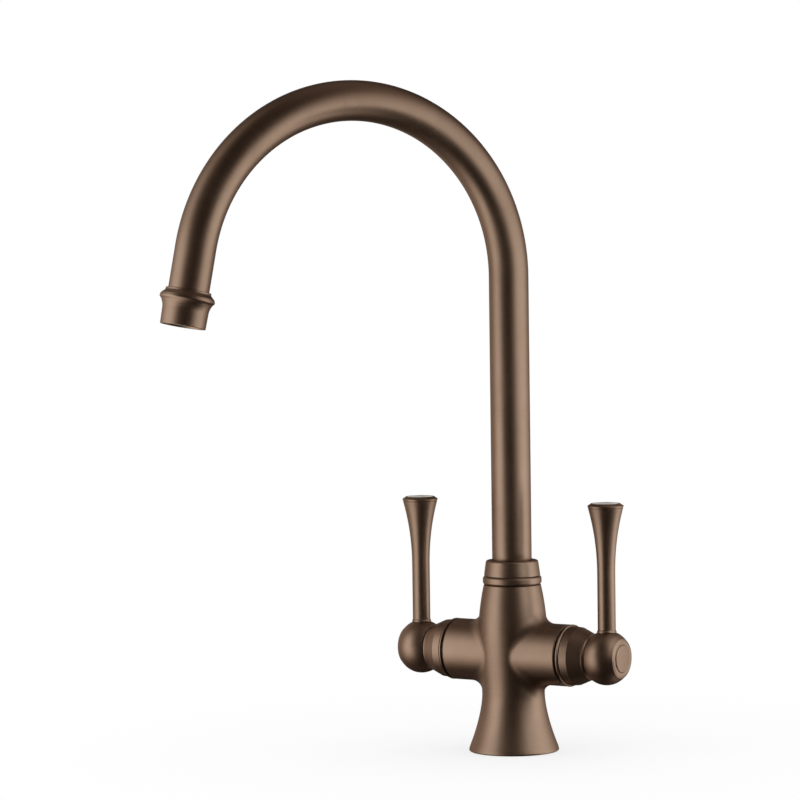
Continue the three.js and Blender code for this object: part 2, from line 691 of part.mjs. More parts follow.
// The drop is measured from the joint with the tube towards the rim.
function nozzleShell() {
  const ridge = NOZZLE_RIDGE_DROP;
  const hollow = NOZZLE_RIDGE_RADIUS - NOZZLE_SKIRT_RADIUS;
  const sweepIn = (drop) => {
    const share = (drop - ridge) / (NOZZLE_SKIRT_DROP - ridge);
    return NOZZLE_SKIRT_RADIUS + hollow * (1 - share) ** 2;
  };
  const outside = [
    [socketBore, 0],
    [NOZZLE_TOP_RADIUS, 0],
    [NOZZLE_TOP_RADIUS + NOZZLE_SWELL, ridge * NOZZLE_NECK_SHARE],
    [NOZZLE_RIDGE_RADIUS - NOZZLE_SWELL, ridge * NOZZLE_SWELL_SHARE],
    ...curvePoints(ridge, NOZZLE_SKIRT_DROP, NOZZLE_STEPS, sweepIn),
    [NOZZLE_RIM_RADIUS, NOZZLE_LENGTH - NOZZLE_EDGE],
    [NOZZLE_RIM_RADIUS - NOZZLE_EDGE / 2, NOZZLE_LENGTH],
  ];
  const inside = [
    [aeratorBore, NOZZLE_LENGTH],
    [aeratorBore, sealLow - AERATOR_SEAL_THICKNESS - FIT],
    [throat, sealLow - AERATOR_SEAL_THICKNESS - FIT],
    [throat, NOZZLE_SOCKET + FIT],
    [socketBore, NOZZLE_SOCKET + FIT],
  ];
  return turnedRing([...outside, ...inside].map(([radius, drop]) => [radius, -drop]));
}

function aeratorBody() {
  const face = NOZZLE_LENGTH - AERATOR_RECESS;
  const cup = turned([
    [0, -face],
    [AERATOR_RADIUS, -face],
    [AERATOR_RADIUS, -AERATOR_DROP],
    [AERATOR_RADIUS - AERATOR_WALL, -AERATOR_DROP],
    [AERATOR_RADIUS - AERATOR_WALL, AERATOR_FLOOR - face],
    [0, AERATOR_FLOOR - face],
  ], SIDES_SMALL);
  const jets = AERATOR_RINGS.flatMap(([radius, count]) => Array.from({ length: count }, (_, i) => {
    const angle = (2 * Math.PI * i) / count;
    const hole = rod(AERATOR_HOLE, -face - PAST, AERATOR_FLOOR - face + PAST, SIDES_JET);
    return hole.translate(radius * Math.cos(angle), radius * Math.sin(angle), 0);
  }));
  return surface(cut(solid(cup), ...jets.map(solid)));
}

function aeratorScreen() {
  const radius = AERATOR_RADIUS - AERATOR_WALL - FIT;
  const rest = NOZZLE_LENGTH - AERATOR_RECESS - AERATOR_FLOOR - FIT;
  return rod(radius, -rest, SCREEN_THICKNESS - rest, SIDES_SMALL);
}

const sealInner = AERATOR_RADIUS - AERATOR_SEAL_WIDTH;
const sealTop = AERATOR_SEAL_THICKNESS - sealLow;
const aeratorWasher = plainRing(sealInner, AERATOR_RADIUS, -sealLow, sealTop, SIDES_SMALL);
add(nozzle, 'nozzle_shell', nozzleShell(), BRONZE);
add(nozzle, 'aerator_washer', aeratorWasher, RUBBER);
add(nozzle, 'aerator_body', aeratorBody(), GREY_PLASTIC);
add(nozzle, 'aerator_screen', aeratorScreen(), STEEL);

// ---- Valve cartridge, along its own axis from the arm's floor outwards ------------------------

function valveBody() {
  const neckBore = SPINDLE_RADIUS + RUN;
  const waistHigh = valveLow + VALVE_WAIST_LENGTH;
  const shell = join(
    solid(turned([
      [0, valveLow],
      [VALVE_WAIST, valveLow],
      [VALVE_WAIST, waistHigh],
      [VALVE_RADIUS, waistHigh],
      [VALVE_RADIUS, (hexHigh + landHigh) / 2],
      [0, (hexHigh + landHigh) / 2],
    ], SIDES_SMALL)),
    solid(prism(hexagon(VALVE_HEX), hexLow, hexHigh)),
    solid(rod(VALVE_LAND_RADIUS, hexHigh, landHigh, SIDES_SMALL)),
  );
  const windowLow = movingDiscLow;
  const across = 2 * (VALVE_RADIUS + PAST);
  const windows = new THREE.BoxGeometry(WINDOW_WIDTH, across, WINDOW_LENGTH);
  return surface(cut(
    shell,
    solid(rod(CHAMBER_RADIUS, valveLow - PAST, chamberHigh, SIDES_SMALL)),
    solid(rod(neckBore, chamberHigh - PAST, landHigh + PAST, SIDES_SMALL)),
    solid(windows.translate(0, 0, windowLow + WINDOW_LENGTH / 2)),
  ));
}

// A ceramic disc with two opposite sector slots, turned by an angle about its axis.
function slottedDisc(low, turn) {
  const disc = new THREE.Shape().absarc(0, 0, CHAMBER_RADIUS - FIT, 0, 2 * Math.PI, false);
  for (const middle of [turn, turn + Math.PI]) {
    const [start, end] = [middle - DISC_SLOT_ANGLE / 2, middle + DISC_SLOT_ANGLE / 2];
    const slot = new THREE.Path();
    slot.absarc(0, 0, DISC_SLOT_OUTER, start, end, false);
    slot.absarc(0, 0, DISC_SLOT_INNER, end, start, true);
    slot.closePath();
    disc.holes.push(slot);
  }
  const options = { depth: DISC_THICKNESS, bevelEnabled: false, curveSegments: SLOT_SEGMENTS };
  return weld(new THREE.ExtrudeGeometry(disc, options).translate(0, 0, low));
}

function spindle() {
  const grooveLow = driverHigh + SPINDLE_SEAL_AT;
  const shaft = turned([
    [0, driverLow],
    [CHAMBER_RADIUS - RUN, driverLow],
    [CHAMBER_RADIUS - RUN, driverHigh],
    [SPINDLE_RADIUS, driverHigh],
    [SPINDLE_RADIUS, grooveLow],
    [SPINDLE_RADIUS - SPINDLE_SEAL_DEPTH, grooveLow],
    [SPINDLE_RADIUS - SPINDLE_SEAL_DEPTH, grooveLow + SPINDLE_SEAL_GROOVE],
    [SPINDLE_RADIUS, grooveLow + SPINDLE_SEAL_GROOVE],
    [SPINDLE_RADIUS, clipLow - FIT / 2],
    [SPINDLE_RADIUS - CLIP_DEPTH, clipLow - FIT / 2],
    [SPINDLE_RADIUS - CLIP_DEPTH, clipLow + CLIP_THICKNESS + FIT / 2],
    [SPINDLE_RADIUS, clipLow + CLIP_THICKNESS + FIT / 2],
    [SPINDLE_RADIUS, splineLow],
    [0, splineLow],
  ], SIDES_FINE);
  const spline = prism(splineOutline(0), splineLow - FIT, spindleHigh);
  const thread = rod(SCREW_RADIUS + FIT, spindleHigh - SCREW_GRIP - PAST, spindleHigh + PAST);
  return surface(cut(join(solid(shaft), solid(spline)), solid(thread)));
}

function spindleSeal() {
  const middle = driverHigh + SPINDLE_SEAL_AT + SPINDLE_SEAL_GROOVE / 2;
  const floor = SPINDLE_RADIUS - SPINDLE_SEAL_DEPTH;
  return sealRing(floor, SPINDLE_RADIUS + RUN, middle);
}

// ---- Shroud, hub and lever, with +X away from the body --------------------------------------

function shroudRing() {
  const inner = VALVE_HEX / Math.sqrt(3) + FIT;
  const stepHigh = ringLow + RING_STEP;
  return turnedRing([
    [inner, ringLow],
    [RING_STEP_RADIUS, ringLow],
    [RING_STEP_RADIUS, stepHigh],
    [RING_RADIUS - RING_EDGE, stepHigh],
    [RING_RADIUS, stepHigh + RING_EDGE],
    [RING_RADIUS, ringHigh - RING_EDGE],
    [RING_RADIUS - RING_EDGE, ringHigh],
    [inner, ringHigh],
  ]);
}

function shroud() {
  const bore = VALVE_LAND_RADIUS + FIT;
  const chamber = SHROUD_MOUTH_RADIUS - SHROUD_WALL;
  return turnedRing([
    [bore, shroudLow],
    [SHROUD_RADIUS, shroudLow],
    [SHROUD_BAND_RADIUS, shroudLow + SHROUD_BAND],
    [SHROUD_MOUTH_RADIUS, shroudHigh],
    [SHROUD_HOLE, shroudHigh],
    [SHROUD_HOLE, shroudHigh - SHROUD_WALL],
    [chamber, shroudHigh - SHROUD_WALL],
    [bore, landHigh + FIT],
  ]);
}

function hub() {
  const hubRadius = (place) => {
    const offset = place - hubReach;
    const half = offset < 0 ? HUB_INNER_AXIS : HUB_OUTER_AXIS;
    return HUB_RADIUS * Math.sqrt(1 - (offset / half) ** 2);
  };
  const shoulder = hubReach + HUB_SHOULDER;
  const rounding = (hubHigh - shoulder) / 2;
  const capBore = CAP_RADIUS + FIT;
  const ball = solid(alongX(turned([
    [0, hubLow],
    ...curvePoints(hubLow, shoulder, HUB_STEPS, hubRadius),
    [hubRadius(shoulder) - rounding, shoulder + rounding],
    [capBore + rounding / 2, hubHigh],
    [0, hubHigh],
  ])).translate(0, 0, HANDLE_AXIS_HEIGHT));
  const inwards = (radius, from, sides) => {
    const bore = alongX(rod(radius, from, hubHigh + PAST, sides));
    return solid(bore.translate(0, 0, HANDLE_AXIS_HEIGHT));
  };
  const splineHole = alongX(prism(splineOutline(FIT), hubLow - PAST, spindleHigh + FIT));
  const spotHigh = HANDLE_AXIS_HEIGHT + LEVER_SPOT;
  const spotFace = rod(HUB_RADIUS, spotHigh, spotHigh + HUB_RADIUS, SIDES_SMALL);
  const tailHole = rod(LEVER_TAIL_RADIUS + FIT, leverLow - LEVER_TAIL - FIT, spotHigh + PAST);
  return surface(cut(
    ball,
    inwards(capBore, capFloor, SIDES_SMALL),
    inwards(SCREW_HEAD_RADIUS + FIT, headLow - FIT, SIDES_FINE),
    inwards(SCREW_RADIUS + FIT, spindleHigh - PAST, SIDES_FINE),
    solid(splineHole.translate(0, 0, HANDLE_AXIS_HEIGHT)),
    solid(spotFace.translate(hubReach, 0, 0)),
    solid(tailHole.translate(hubReach, 0, 0)),
  ));
}

function lever() {
  const flareLow = LEVER_TOP - LEVER_EDGE - LEVER_FLARE;
  const trumpet = (height) => {
    const share = (height - flareLow) / LEVER_FLARE;
    return LEVER_ROD_RADIUS + (LEVER_RIM_RADIUS - LEVER_ROD_RADIUS) * share ** LEVER_FLARE_POWER;
  };
  const recess = INDEX_RADIUS + FIT;
  const recessFloor = LEVER_TOP - INDEX_THICKNESS - FIT;
  return turned([
    [0, leverLow - LEVER_TAIL],
    [LEVER_TAIL_RADIUS, leverLow - LEVER_TAIL],
    [LEVER_TAIL_RADIUS, leverLow],
    [LEVER_ROD_RADIUS, leverLow],
    ...curvePoints(flareLow, LEVER_TOP - LEVER_EDGE, TRUMPET_STEPS, trumpet),
    [recess, LEVER_TOP],
    [recess, recessFloor],
    [0, recessFloor],
  ], SIDES_SMALL).translate(hubReach, 0, 0);
}

function indexDisc() {
  const low = LEVER_TOP - INDEX_THICKNESS;
  return rod(INDEX_RADIUS, low, LEVER_TOP, SIDES_SMALL).translate(hubReach, 0, 0);
}

function hubCap() {
  const low = capFloor + FIT;
  const crown = (radius) => hubHigh + CAP_CROWN * (1 - (radius / CAP_RADIUS) ** 2);
  return turned([
    [0, low],
    [CAP_RADIUS, low],
    ...[CAP_RADIUS, CAP_RADIUS / 2, 0].map((radius) => [radius, crown(radius)]),
  ], SIDES_SMALL);
}

function handleScrew() {
  const headHigh = headLow + SCREW_HEAD_HEIGHT;
  const screw = turned([
    [0, spindleHigh - SCREW_GRIP],
    [SCREW_RADIUS, spindleHigh - SCREW_GRIP],
    [SCREW_RADIUS, headLow],
    [SCREW_HEAD_RADIUS, headLow],
    [SCREW_HEAD_RADIUS, headHigh],
    [0, headHigh],
  ], SIDES_FINE);
  const key = prism(hexagon(SCREW_KEY), headHigh - SCREW_KEY_DEPTH, headHigh + PAST);
  return surface(cut(solid(screw), solid(key)));
}

// ---- The two sides: the same pieces, one set turned half round about the trunk -----------------

function addSide(name, turn) {
  const side = new THREE.Group();
  side.rotation.z = turn;
  faucet.add(side);
  const lay = (geometry) => alongX(geometry).translate(0, 0, HANDLE_AXIS_HEIGHT);
  const seatHigh = seatLow + SEAT_THICKNESS;
  const seat = plainRing(SEAT_BORE, CHAMBER_RADIUS - FIT, seatLow, seatHigh, SIDES_SMALL);
  const clipInner = SPINDLE_RADIUS - CLIP_DEPTH + FIT / 2;
  const clip = splitRing(
    clipInner,
    CLIP_RADIUS,
    clipLow,
    CLIP_THICKNESS,
    CLIP_SPLIT,
    CLIP_SEGMENTS,
  );
  const pieces = [
    ['seat_washer', lay(seat), RUBBER],
    ['fixed_disc', lay(slottedDisc(fixedDiscLow, 0)), CERAMIC],
    ['moving_disc', lay(slottedDisc(movingDiscLow, Math.PI / 2)), CERAMIC],
    ['valve_body', lay(valveBody()), BRASS],
    ['spindle', lay(spindle()), BRASS],
    ['spindle_o_ring', lay(spindleSeal()), RUBBER],
    ['spindle_clip', lay(clip), STEEL],
    ['shroud_ring', lay(shroudRing()), BRONZE],
    ['shroud', lay(shroud()), BRONZE],
    ['hub', hub(), BRONZE],
    ['handle_screw', lay(handleScrew()), STEEL],
    ['hub_cap', lay(hubCap()), BRONZE],
    ['lever', lever(), BRONZE],
    ['index_disc', indexDisc(), ENAMEL],
  ];
  for (const [piece, geometry, material] of pieces) {
    add(side, `${name}_${piece}`, geometry, material);
  }
}

addSide('cold', 0);
addSide('hot', Math.PI);

export default faucet;
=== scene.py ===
# %% [markdown]
# # A two handle kitchen faucet in satin bronze
#
# The solids of this faucet were made in a CAD program and packed with their joints. This
# notebook dresses them in Blender: it loads the solids as a fixed frame, lays finer
# surfaces over the pieces that show, and gives every piece its finish. Sizes are written
# in millimetres, as on a drawing, and become metres when a mesh is made.

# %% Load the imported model
import math

import bmesh
import bpy
import numpy as np
from mathutils import Matrix, Vector


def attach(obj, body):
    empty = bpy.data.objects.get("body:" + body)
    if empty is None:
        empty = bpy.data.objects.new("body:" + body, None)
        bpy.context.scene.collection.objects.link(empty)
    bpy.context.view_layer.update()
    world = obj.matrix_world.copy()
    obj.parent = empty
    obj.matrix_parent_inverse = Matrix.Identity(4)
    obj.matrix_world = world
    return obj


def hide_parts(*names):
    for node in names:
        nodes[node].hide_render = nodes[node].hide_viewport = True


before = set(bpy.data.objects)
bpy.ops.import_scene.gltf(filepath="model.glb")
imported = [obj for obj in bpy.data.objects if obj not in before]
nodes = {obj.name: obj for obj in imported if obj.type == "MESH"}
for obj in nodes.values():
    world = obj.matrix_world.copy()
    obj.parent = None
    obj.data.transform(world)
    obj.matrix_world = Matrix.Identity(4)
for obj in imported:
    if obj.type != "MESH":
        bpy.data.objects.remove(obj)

MM = 0.001
scene = bpy.context.scene
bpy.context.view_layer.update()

# %% [markdown]
# ## The camera
#
# The picture was taken from a little to one side, with a long lens that keeps upright
# lines upright. Four angles say where such a camera looks: which way it stands round the
# faucet, how far it turns past the middle, how far it looks down and how far it leans.

# %% Place the camera
CAMERA_PLACE = (1.07268, -1.74887, 0.304634)
CAMERA_AZIMUTH = math.radians(31.523)
CAMERA_TURN = math.radians(1.7067)
CAMERA_PITCH = math.radians(3.0218)
CAMERA_ROLL = math.radians(-0.768)
LENS = 166.457

heading = CAMERA_AZIMUTH + CAMERA_TURN
level = Vector((-math.sin(heading), math.cos(heading), 0))
upright = Vector((0, 0, 1))
sideways = Vector((math.cos(heading), math.sin(heading), 0))
forward = level * math.cos(CAMERA_PITCH) - upright * math.sin(CAMERA_PITCH)
above = upright * math.cos(CAMERA_PITCH) + level * math.sin(CAMERA_PITCH)
right = sideways * math.cos(CAMERA_ROLL) + above * math.sin(CAMERA_ROLL)
above = above * math.cos(CAMERA_ROLL) - sideways * math.sin(CAMERA_ROLL)

camera = bpy.data.objects.new("camera", bpy.data.cameras.new("camera"))
scene.collection.objects.link(camera)
camera.data.lens = LENS
camera.data.sensor_width = 36
camera.data.clip_end = 20
camera.matrix_world = Matrix.Translation(CAMERA_PLACE) @ Matrix(
    (right, above, -forward)).transposed().to_4x4()
scene.camera = camera
print("camera", round(math.degrees(heading), 2), "degrees round")

# %% [markdown]
# ## Profiles
#
# Nearly every piece of a faucet is turned on a lathe, so it starts as half of its
# section: a line of (radius, height) corners that runs round the metal with the metal on
# its left. Real corners are never knife sharp. The helper below gives a corner a small
# arc, and a point a little way before and after it, which keeps the flats beside it flat.

# %% Round the corners of a profile
ARC_STEPS = 5
HOLD = 0.35


def rounded(corners, closed=True):
    """Turns corners (radius, height, rounding) into a line of points. A rounded corner
    becomes an arc that touches both of its edges: its centre is on the bisector, at the
    rounding over the sine of half the angle."""
    place = np.array([c[:2] for c in corners], float)
    count = len(place)
    out = []
    for i, corner in enumerate(corners):
        rounding = corner[2] if len(corner) > 2 else 0
        open_end = not closed and i in (0, count - 1)
        if rounding <= 0 or open_end:
            out.append(place[i])
            continue
        back, ahead = place[i - 1] - place[i], place[(i + 1) % count] - place[i]
        back_length, ahead_length = np.linalg.norm(back), np.linalg.norm(ahead)
        back, ahead = back / back_length, ahead / ahead_length
        half = math.acos(np.clip(back @ ahead, -1, 1)) / 2
        reach = min(rounding / math.tan(half), 0.45 * back_length, 0.45 * ahead_length)
        radius = reach * math.tan(half)
        bisector = (back + ahead) / np.linalg.norm(back + ahead)
        centre = place[i] + bisector * radius / math.sin(half)
        first, last = place[i] + back * reach, place[i] + ahead * reach
        share = np.linspace(0, 1, ARC_STEPS + 1)[:, None]
        span = math.pi - 2 * half
        rays = (np.sin((1 - share) * span) * (first - centre)
                + np.sin(share * span) * (last - centre)) / math.sin(span)
        spare = min(back_length, ahead_length) - reach
        hold = min(HOLD * reach, 0.3 * spare)
        out += [first + back * hold, *(centre + rays), last + ahead * hold]
    return np.array(out)


def along(low, high, count, radius_at):
    """Points (radius, height) of a curve, from one height to another."""
    return [(float(radius_at(h)), float(h)) for h in np.linspace(low, high, count + 1)]


def bends(profile, closed):
    """How sharply a profile turns at each point, per millimetre: the angle between the
    steps before and after it, over their mean length. Outer edges are positive."""
    before = profile - np.roll(profile, 1, 0)
    after = np.roll(profile, -1, 0) - profile
    cross = before[:, 0] * after[:, 1] - before[:, 1] * after[:, 0]
    angle = np.arctan2(cross, (before * after).sum(1))
    step = (np.linalg.norm(before, axis=1) + np.linalg.norm(after, axis=1)) / 2
    rate = angle / np.maximum(step, 1e-6)
    if not closed:
        rate[[0, -1]] = 0
    return rate


# %% [markdown]
# ## From profile to surface
#
# A turned surface is a function of two parameters, the place along the profile and the
# angle round the axis. The same rule bends the swan neck: there the axis is a curve, so
# each point of the profile asks the axis where its centre is and which way is sideways.
# Each vertex also keeps three things for the finish: its place along the profile for
# fine lathe lines, whether it is on an outer edge, and whether it is in a corner.

# %% Paths that a profile is carried along
def straight(height):
    """The Z axis: the centre rises, and the two sideways directions are X and Y."""
    height = np.asarray(height, float)
    zero, one = np.zeros_like(height), np.ones_like(height)
    return (np.stack([zero, zero, height], 1), np.stack([one, zero, zero], 1),
            np.stack([zero, one, zero], 1))


def carried(profile, path=straight, sides=96, closed=True, start=0.0, flat=False):
    """Carries a profile round a path: point = centre + radius (cosine of the angle
    times side + sine times other side). Points on the axis become one vertex."""
    profile = np.asarray(profile, float)
    radius, height = profile.T
    centre, side, other = path(height)
    angle = start + 2 * math.pi * np.arange(sides) / sides
    cosine, sine = np.cos(angle), np.sin(angle)
    ray = side[:, None] * cosine[None, :, None] + other[:, None] * sine[None, :, None]
    points = centre[:, None] + radius[:, None, None] * ray
    steps = np.linalg.norm(np.diff(profile, axis=0), axis=1)
    run = np.concatenate([[0], np.cumsum(steps)])
    rate = bends(profile, closed)
    spread = (len(profile), sides)
    grain = np.stack([np.broadcast_to(run[:, None], spread),
                      np.broadcast_to(cosine, spread), np.broadcast_to(sine, spread)], 2)
    numbers = np.arange(len(profile) * sides).reshape(spread)
    on_axis = radius < 1e-9
    numbers[on_axis] = numbers[on_axis][:, :1]
    used, renumbered = np.unique(numbers, return_inverse=True)
    return {
        "points": points.reshape(-1, 3)[used],
        "faces": stitched(renumbered.reshape(spread), closed),
        "grain": grain.reshape(-1, 3)[used],
        "edge": np.broadcast_to(np.clip(rate, 0, 1)[:, None], spread).reshape(-1)[used],
        "nook": np.broadcast_to(np.clip(-rate, 0, 1)[:, None], spread).reshape(-1)[used],
        "lathe": np.full(len(used), 0.0 if flat else 1.0),
    }


def stitched(grid, closed_rows):
    """Four-sided faces between neighbouring rows and columns of a grid of vertex
    numbers, whose columns close into rings. Where a row is a single vertex, they are
    three-sided."""
    low, high = (grid, np.roll(grid, -1, 0)) if closed_rows else (grid[:-1], grid[1:])
    corners = [low, np.roll(low, -1, 1), np.roll(high, -1, 1), high]
    quads = np.stack(corners, -1).reshape(-1, 4)
    low_tip, high_tip = quads[:, 0] == quads[:, 1], quads[:, 2] == quads[:, 3]
    return (quads[~(low_tip | high_tip)].tolist() + quads[low_tip][:, [0, 2, 3]].tolist()
            + quads[high_tip][:, [0, 1, 2]].tolist())


# %% Move surfaces and make meshes of them
def placed(part, shift=(0, 0, 0), turn=0.0, lying=False):
    """Lays a part's axis along X if asked, then shifts it, then turns it about Z."""
    points = part["points"][:, [2, 0, 1]] if lying else part["points"]
    points = points + np.array(shift)
    cosine, sine = math.cos(turn), math.sin(turn)
    spin = np.array([[cosine, -sine, 0], [sine, cosine, 0], [0, 0, 1]])
    return {**part, "points": points @ spin.T}


def mesh_of(name, *parts, weld=False):
    """Makes one mesh of several parts. Welded parts share their seams' vertices."""
    points = np.concatenate([p["points"] for p in parts]) * MM
    starts = np.cumsum([0] + [len(p["points"]) for p in parts])
    faces = [[v + int(start) for v in face]
             for start, p in zip(starts, parts) for face in p["faces"]]
    mesh = bpy.data.meshes.new(name)
    mesh.from_pydata(points, [], faces)
    for kind, title in (("FLOAT_VECTOR", "grain"), ("FLOAT", "edge"), ("FLOAT", "nook"),
                        ("FLOAT", "lathe")):
        layer = mesh.attributes.new(title, kind, "POINT")
        values = np.concatenate([p[title] for p in parts]).astype(np.float32)
        layer.data.foreach_set("vector" if kind == "FLOAT_VECTOR" else "value",
                               values.ravel())
    if weld:
        sheet = bmesh.new()
        sheet.from_mesh(mesh)
        bmesh.ops.remove_doubles(sheet, verts=sheet.verts, dist=2e-6)
        bmesh.ops.recalc_face_normals(sheet, faces=sheet.faces)
        sheet.to_mesh(mesh)
        sheet.free()
    return mesh


CREASE = math.radians(38)


def finish_piece(name, mesh, body, slot, material, *replaced):
    """Puts a mesh in the scene as a piece that rides on a body, with soft shading
    except across edges that turn more than the crease angle."""
    mesh.shade_smooth()
    mesh.set_sharp_from_angle(angle=CREASE)
    piece = bpy.data.objects.new(name, mesh)
    scene.collection.objects.link(piece)
    mesh.materials.clear()
    mesh.materials.append(material)
    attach(piece, body)
    if replaced:
        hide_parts(*replaced)
    size = np.array([v[:] for v in piece.bound_box])
    extent = (size.max(0) - size.min(0)) / MM
    print(f"{name}: {len(mesh.polygons)} faces, {extent.round(1)} mm")
    return piece


def carved(mesh, *cutters):
    """Cuts closed shapes out of a mesh, one after another, and returns the result."""
    body = bpy.data.objects.new("work", mesh)
    scene.collection.objects.link(body)
    tools = []
    for i, cutter in enumerate(cutters):
        tool = bpy.data.objects.new(f"tool_{i}", mesh_of(f"tool_{i}", cutter))
        scene.collection.objects.link(tool)
        cut = body.modifiers.new(f"cut_{i}", "BOOLEAN")
        cut.operation, cut.solver, cut.object = "DIFFERENCE", "MANIFOLD", tool
        tools.append(tool)
    graph = bpy.context.evaluated_depsgraph_get()
    result = bpy.data.meshes.new_from_object(body.evaluated_get(graph))
    for thing in [*tools, body]:
        bpy.data.objects.remove(thing)
    return result


# %% [markdown]
# ## Patterns that several finishes share
#
# A pattern that more than one material uses is a node group: built once, placed in each material
# with its own numbers. Four of them are enough here. One gives slow cloudy changes of tone, one
# the fine rings that a lathe leaves, one the marks of handling on edges and in corners, which
# also paint a highlight on edges and shade in corners, and one a fine grit like cast or moulded
# skin.

# %% Helpers that write node trees
def feed(tree, socket, value):
    """Links a socket to another socket, or sets it to a plain value."""
    if isinstance(value, bpy.types.NodeSocket):
        tree.links.new(value, socket)
    else:
        socket.default_value = value


def node(tree, kind, settings=None, **sockets):
    """Adds a node. Settings are its properties; sockets are set, or linked if the value
    is another socket. An underscore in a socket's name stands for a space, and i with a
    number is the socket at that place."""
    made = tree.nodes.new(kind)
    for title, value in (settings or {}).items():
        setattr(made, title, value)
    for title, value in sockets.items():
        numbered = title[0] == "i" and title[1:].isdigit()
        place = int(title[1:]) if numbered else title.replace("_", " ")
        feed(tree, made.inputs[place], value)
    return made


def calculate(tree, operation, first, second=0.0, third=0.0, clamp=False):
    """A Math node: one sum, product or other step on numbers."""
    made = node(tree, "ShaderNodeMath", {"operation": operation, "use_clamp": clamp},
                i0=first, i1=second, i2=third)
    return made.outputs[0]


def remap(tree, value, low, high, new_low, new_high):
    """A Map Range node: a value between low and high goes to between the new ones."""
    made = node(tree, "ShaderNodeMapRange", {"clamp": True}, Value=value, From_Min=low,
                From_Max=high, To_Min=new_low, To_Max=new_high)
    return made.outputs["Result"]


def blend_colour(tree, share, first, second, mode="MIX"):
    """A Mix node on colours."""
    made = node(tree, "ShaderNodeMix", {"data_type": "RGBA", "blend_type": mode,
                                        "clamp_factor": True})
    for place, value in ((0, share), (6, first), (7, second)):
        feed(tree, made.inputs[place], value)
    return made.outputs[2]


def start_group(name, inputs, outputs):
    """Makes a node group with named inputs, each (name, kind, value), and outputs."""
    tree = bpy.data.node_groups.new(name, "ShaderNodeTree")
    for title, kind, value in inputs:
        socket = tree.interface.new_socket(title, in_out="INPUT",
                                           socket_type="NodeSocket" + kind)
        if value is not None:
            socket.default_value = value
    for title, kind in outputs:
        tree.interface.new_socket(title, in_out="OUTPUT",
                                  socket_type="NodeSocket" + kind)
    entry = tree.nodes.new("NodeGroupInput")
    leave = tree.nodes.new("NodeGroupOutput")
    return tree, entry.outputs, leave.inputs


def use_group(tree, group, **sockets):
    """Places a node group in a material, with its own values."""
    made = tree.nodes.new("ShaderNodeGroup")
    made.node_tree = group
    for title, value in sockets.items():
        feed(tree, made.inputs[title.replace("_", " ")], value)
    return made.outputs


# %% Cloudy tone
def make_cloud_group():
    """Tone = a slow noise and a finer one, mixed, between 0 and 1. Smudge = a stretched
    noise, where hands and cloths have been."""
    tree, given, result = start_group(
        "cloudy_tone",
        [("Place", "Vector", None), ("Size", "Float", 40.0), ("Detail", "Float", 0.5)],
        [("Tone", "Float"), ("Smudge", "Float")])
    slow = node(tree, "ShaderNodeTexNoise", Vector=given["Place"], Scale=given["Size"],
                Detail=3.0, Roughness=0.55).outputs[0]
    fine = node(tree, "ShaderNodeTexNoise", Vector=given["Place"], Detail=4.0,
                Scale=calculate(tree, "MULTIPLY", given["Size"], 7.0),
                Roughness=0.6).outputs[0]
    part = calculate(tree, "MULTIPLY", given["Detail"], 0.6)
    both = node(tree, "ShaderNodeMix", {"data_type": "FLOAT"}, i0=part, i2=slow, i3=fine)
    tree.links.new(remap(tree, both.outputs[0], 0.3, 0.7, 0.0, 1.0), result["Tone"])
    wide = node(tree, "ShaderNodeMapping", Vector=given["Place"], Scale=(1, 1, 0.45))
    smear = node(tree, "ShaderNodeTexNoise", Vector=wide.outputs[0], Detail=2.0,
                 Scale=calculate(tree, "MULTIPLY", given["Size"], 1.7),
                 Distortion=0.6).outputs[0]
    tree.links.new(remap(tree, smear, 0.42, 0.72, 0.0, 1.0), result["Smudge"])
    return tree


# %% Lathe lines
def make_lathe_group():
    """Height = fine noise along the profile, nearly constant round the axis, times the
    piece's own lathe mask. Streak = the same lines, broader, for roughness and tone."""
    tree, given, result = start_group(
        "lathe_lines",
        [("Lines per mm", "Float", 3.0), ("Round", "Float", 0.6)],
        [("Height", "Float"), ("Streak", "Float")])
    grain = node(tree, "ShaderNodeAttribute", {"attribute_name": "grain"}).outputs["Vector"]
    lathe = node(tree, "ShaderNodeAttribute", {"attribute_name": "lathe"}).outputs["Fac"]
    stretch = node(tree, "ShaderNodeCombineXYZ", X=given["Lines per mm"], Y=given["Round"],
                   Z=given["Round"]).outputs[0]
    place = node(tree, "ShaderNodeVectorMath", {"operation": "MULTIPLY"}, i0=grain,
                 i1=stretch).outputs[0]
    fine = node(tree, "ShaderNodeTexNoise", Vector=place, Scale=1.0, Detail=3.0,
                Roughness=0.7).outputs[0]
    broad = node(tree, "ShaderNodeTexNoise", Vector=place, Scale=0.21, Detail=2.0).outputs[0]
    tree.links.new(calculate(tree, "MULTIPLY", fine, lathe), result["Height"])
    centred = calculate(tree, "SUBTRACT", broad, 0.5)
    tree.links.new(calculate(tree, "MULTIPLY", centred, lathe), result["Streak"])
    return tree


# %% Handling marks, with painted edge highlight and corner shade
def make_wear_and_shade_group():
    """First output = the edge mask broken up by noise: wear, and a painted highlight on edges.
    Second output = the corner mask, likewise: a painted shade in corners, and patina for the
    roughness.
    """
    tree, given, result = start_group(
        "wear_highlight_and_shade",
        [("Place", "Vector", None), ("Size", "Float", 400.0)],
        [("Wear_and_highlight", "Float"), ("Patina_and_shade", "Float")])
    edge = node(tree, "ShaderNodeAttribute", {"attribute_name": "edge"}).outputs["Fac"]
    nook = node(tree, "ShaderNodeAttribute", {"attribute_name": "nook"}).outputs["Fac"]
    rough = node(tree, "ShaderNodeTexNoise", Vector=given["Place"], Scale=given["Size"],
                 Detail=3.0).outputs[0]
    broken = remap(tree, rough, 0.3, 0.65, 0.25, 1.0)
    tree.links.new(calculate(tree, "MULTIPLY", edge, broken, clamp=True), result["Wear_and_highlight"])
    tree.links.new(calculate(tree, "MULTIPLY", nook, broken, clamp=True), result["Patina_and_shade"])
    return tree


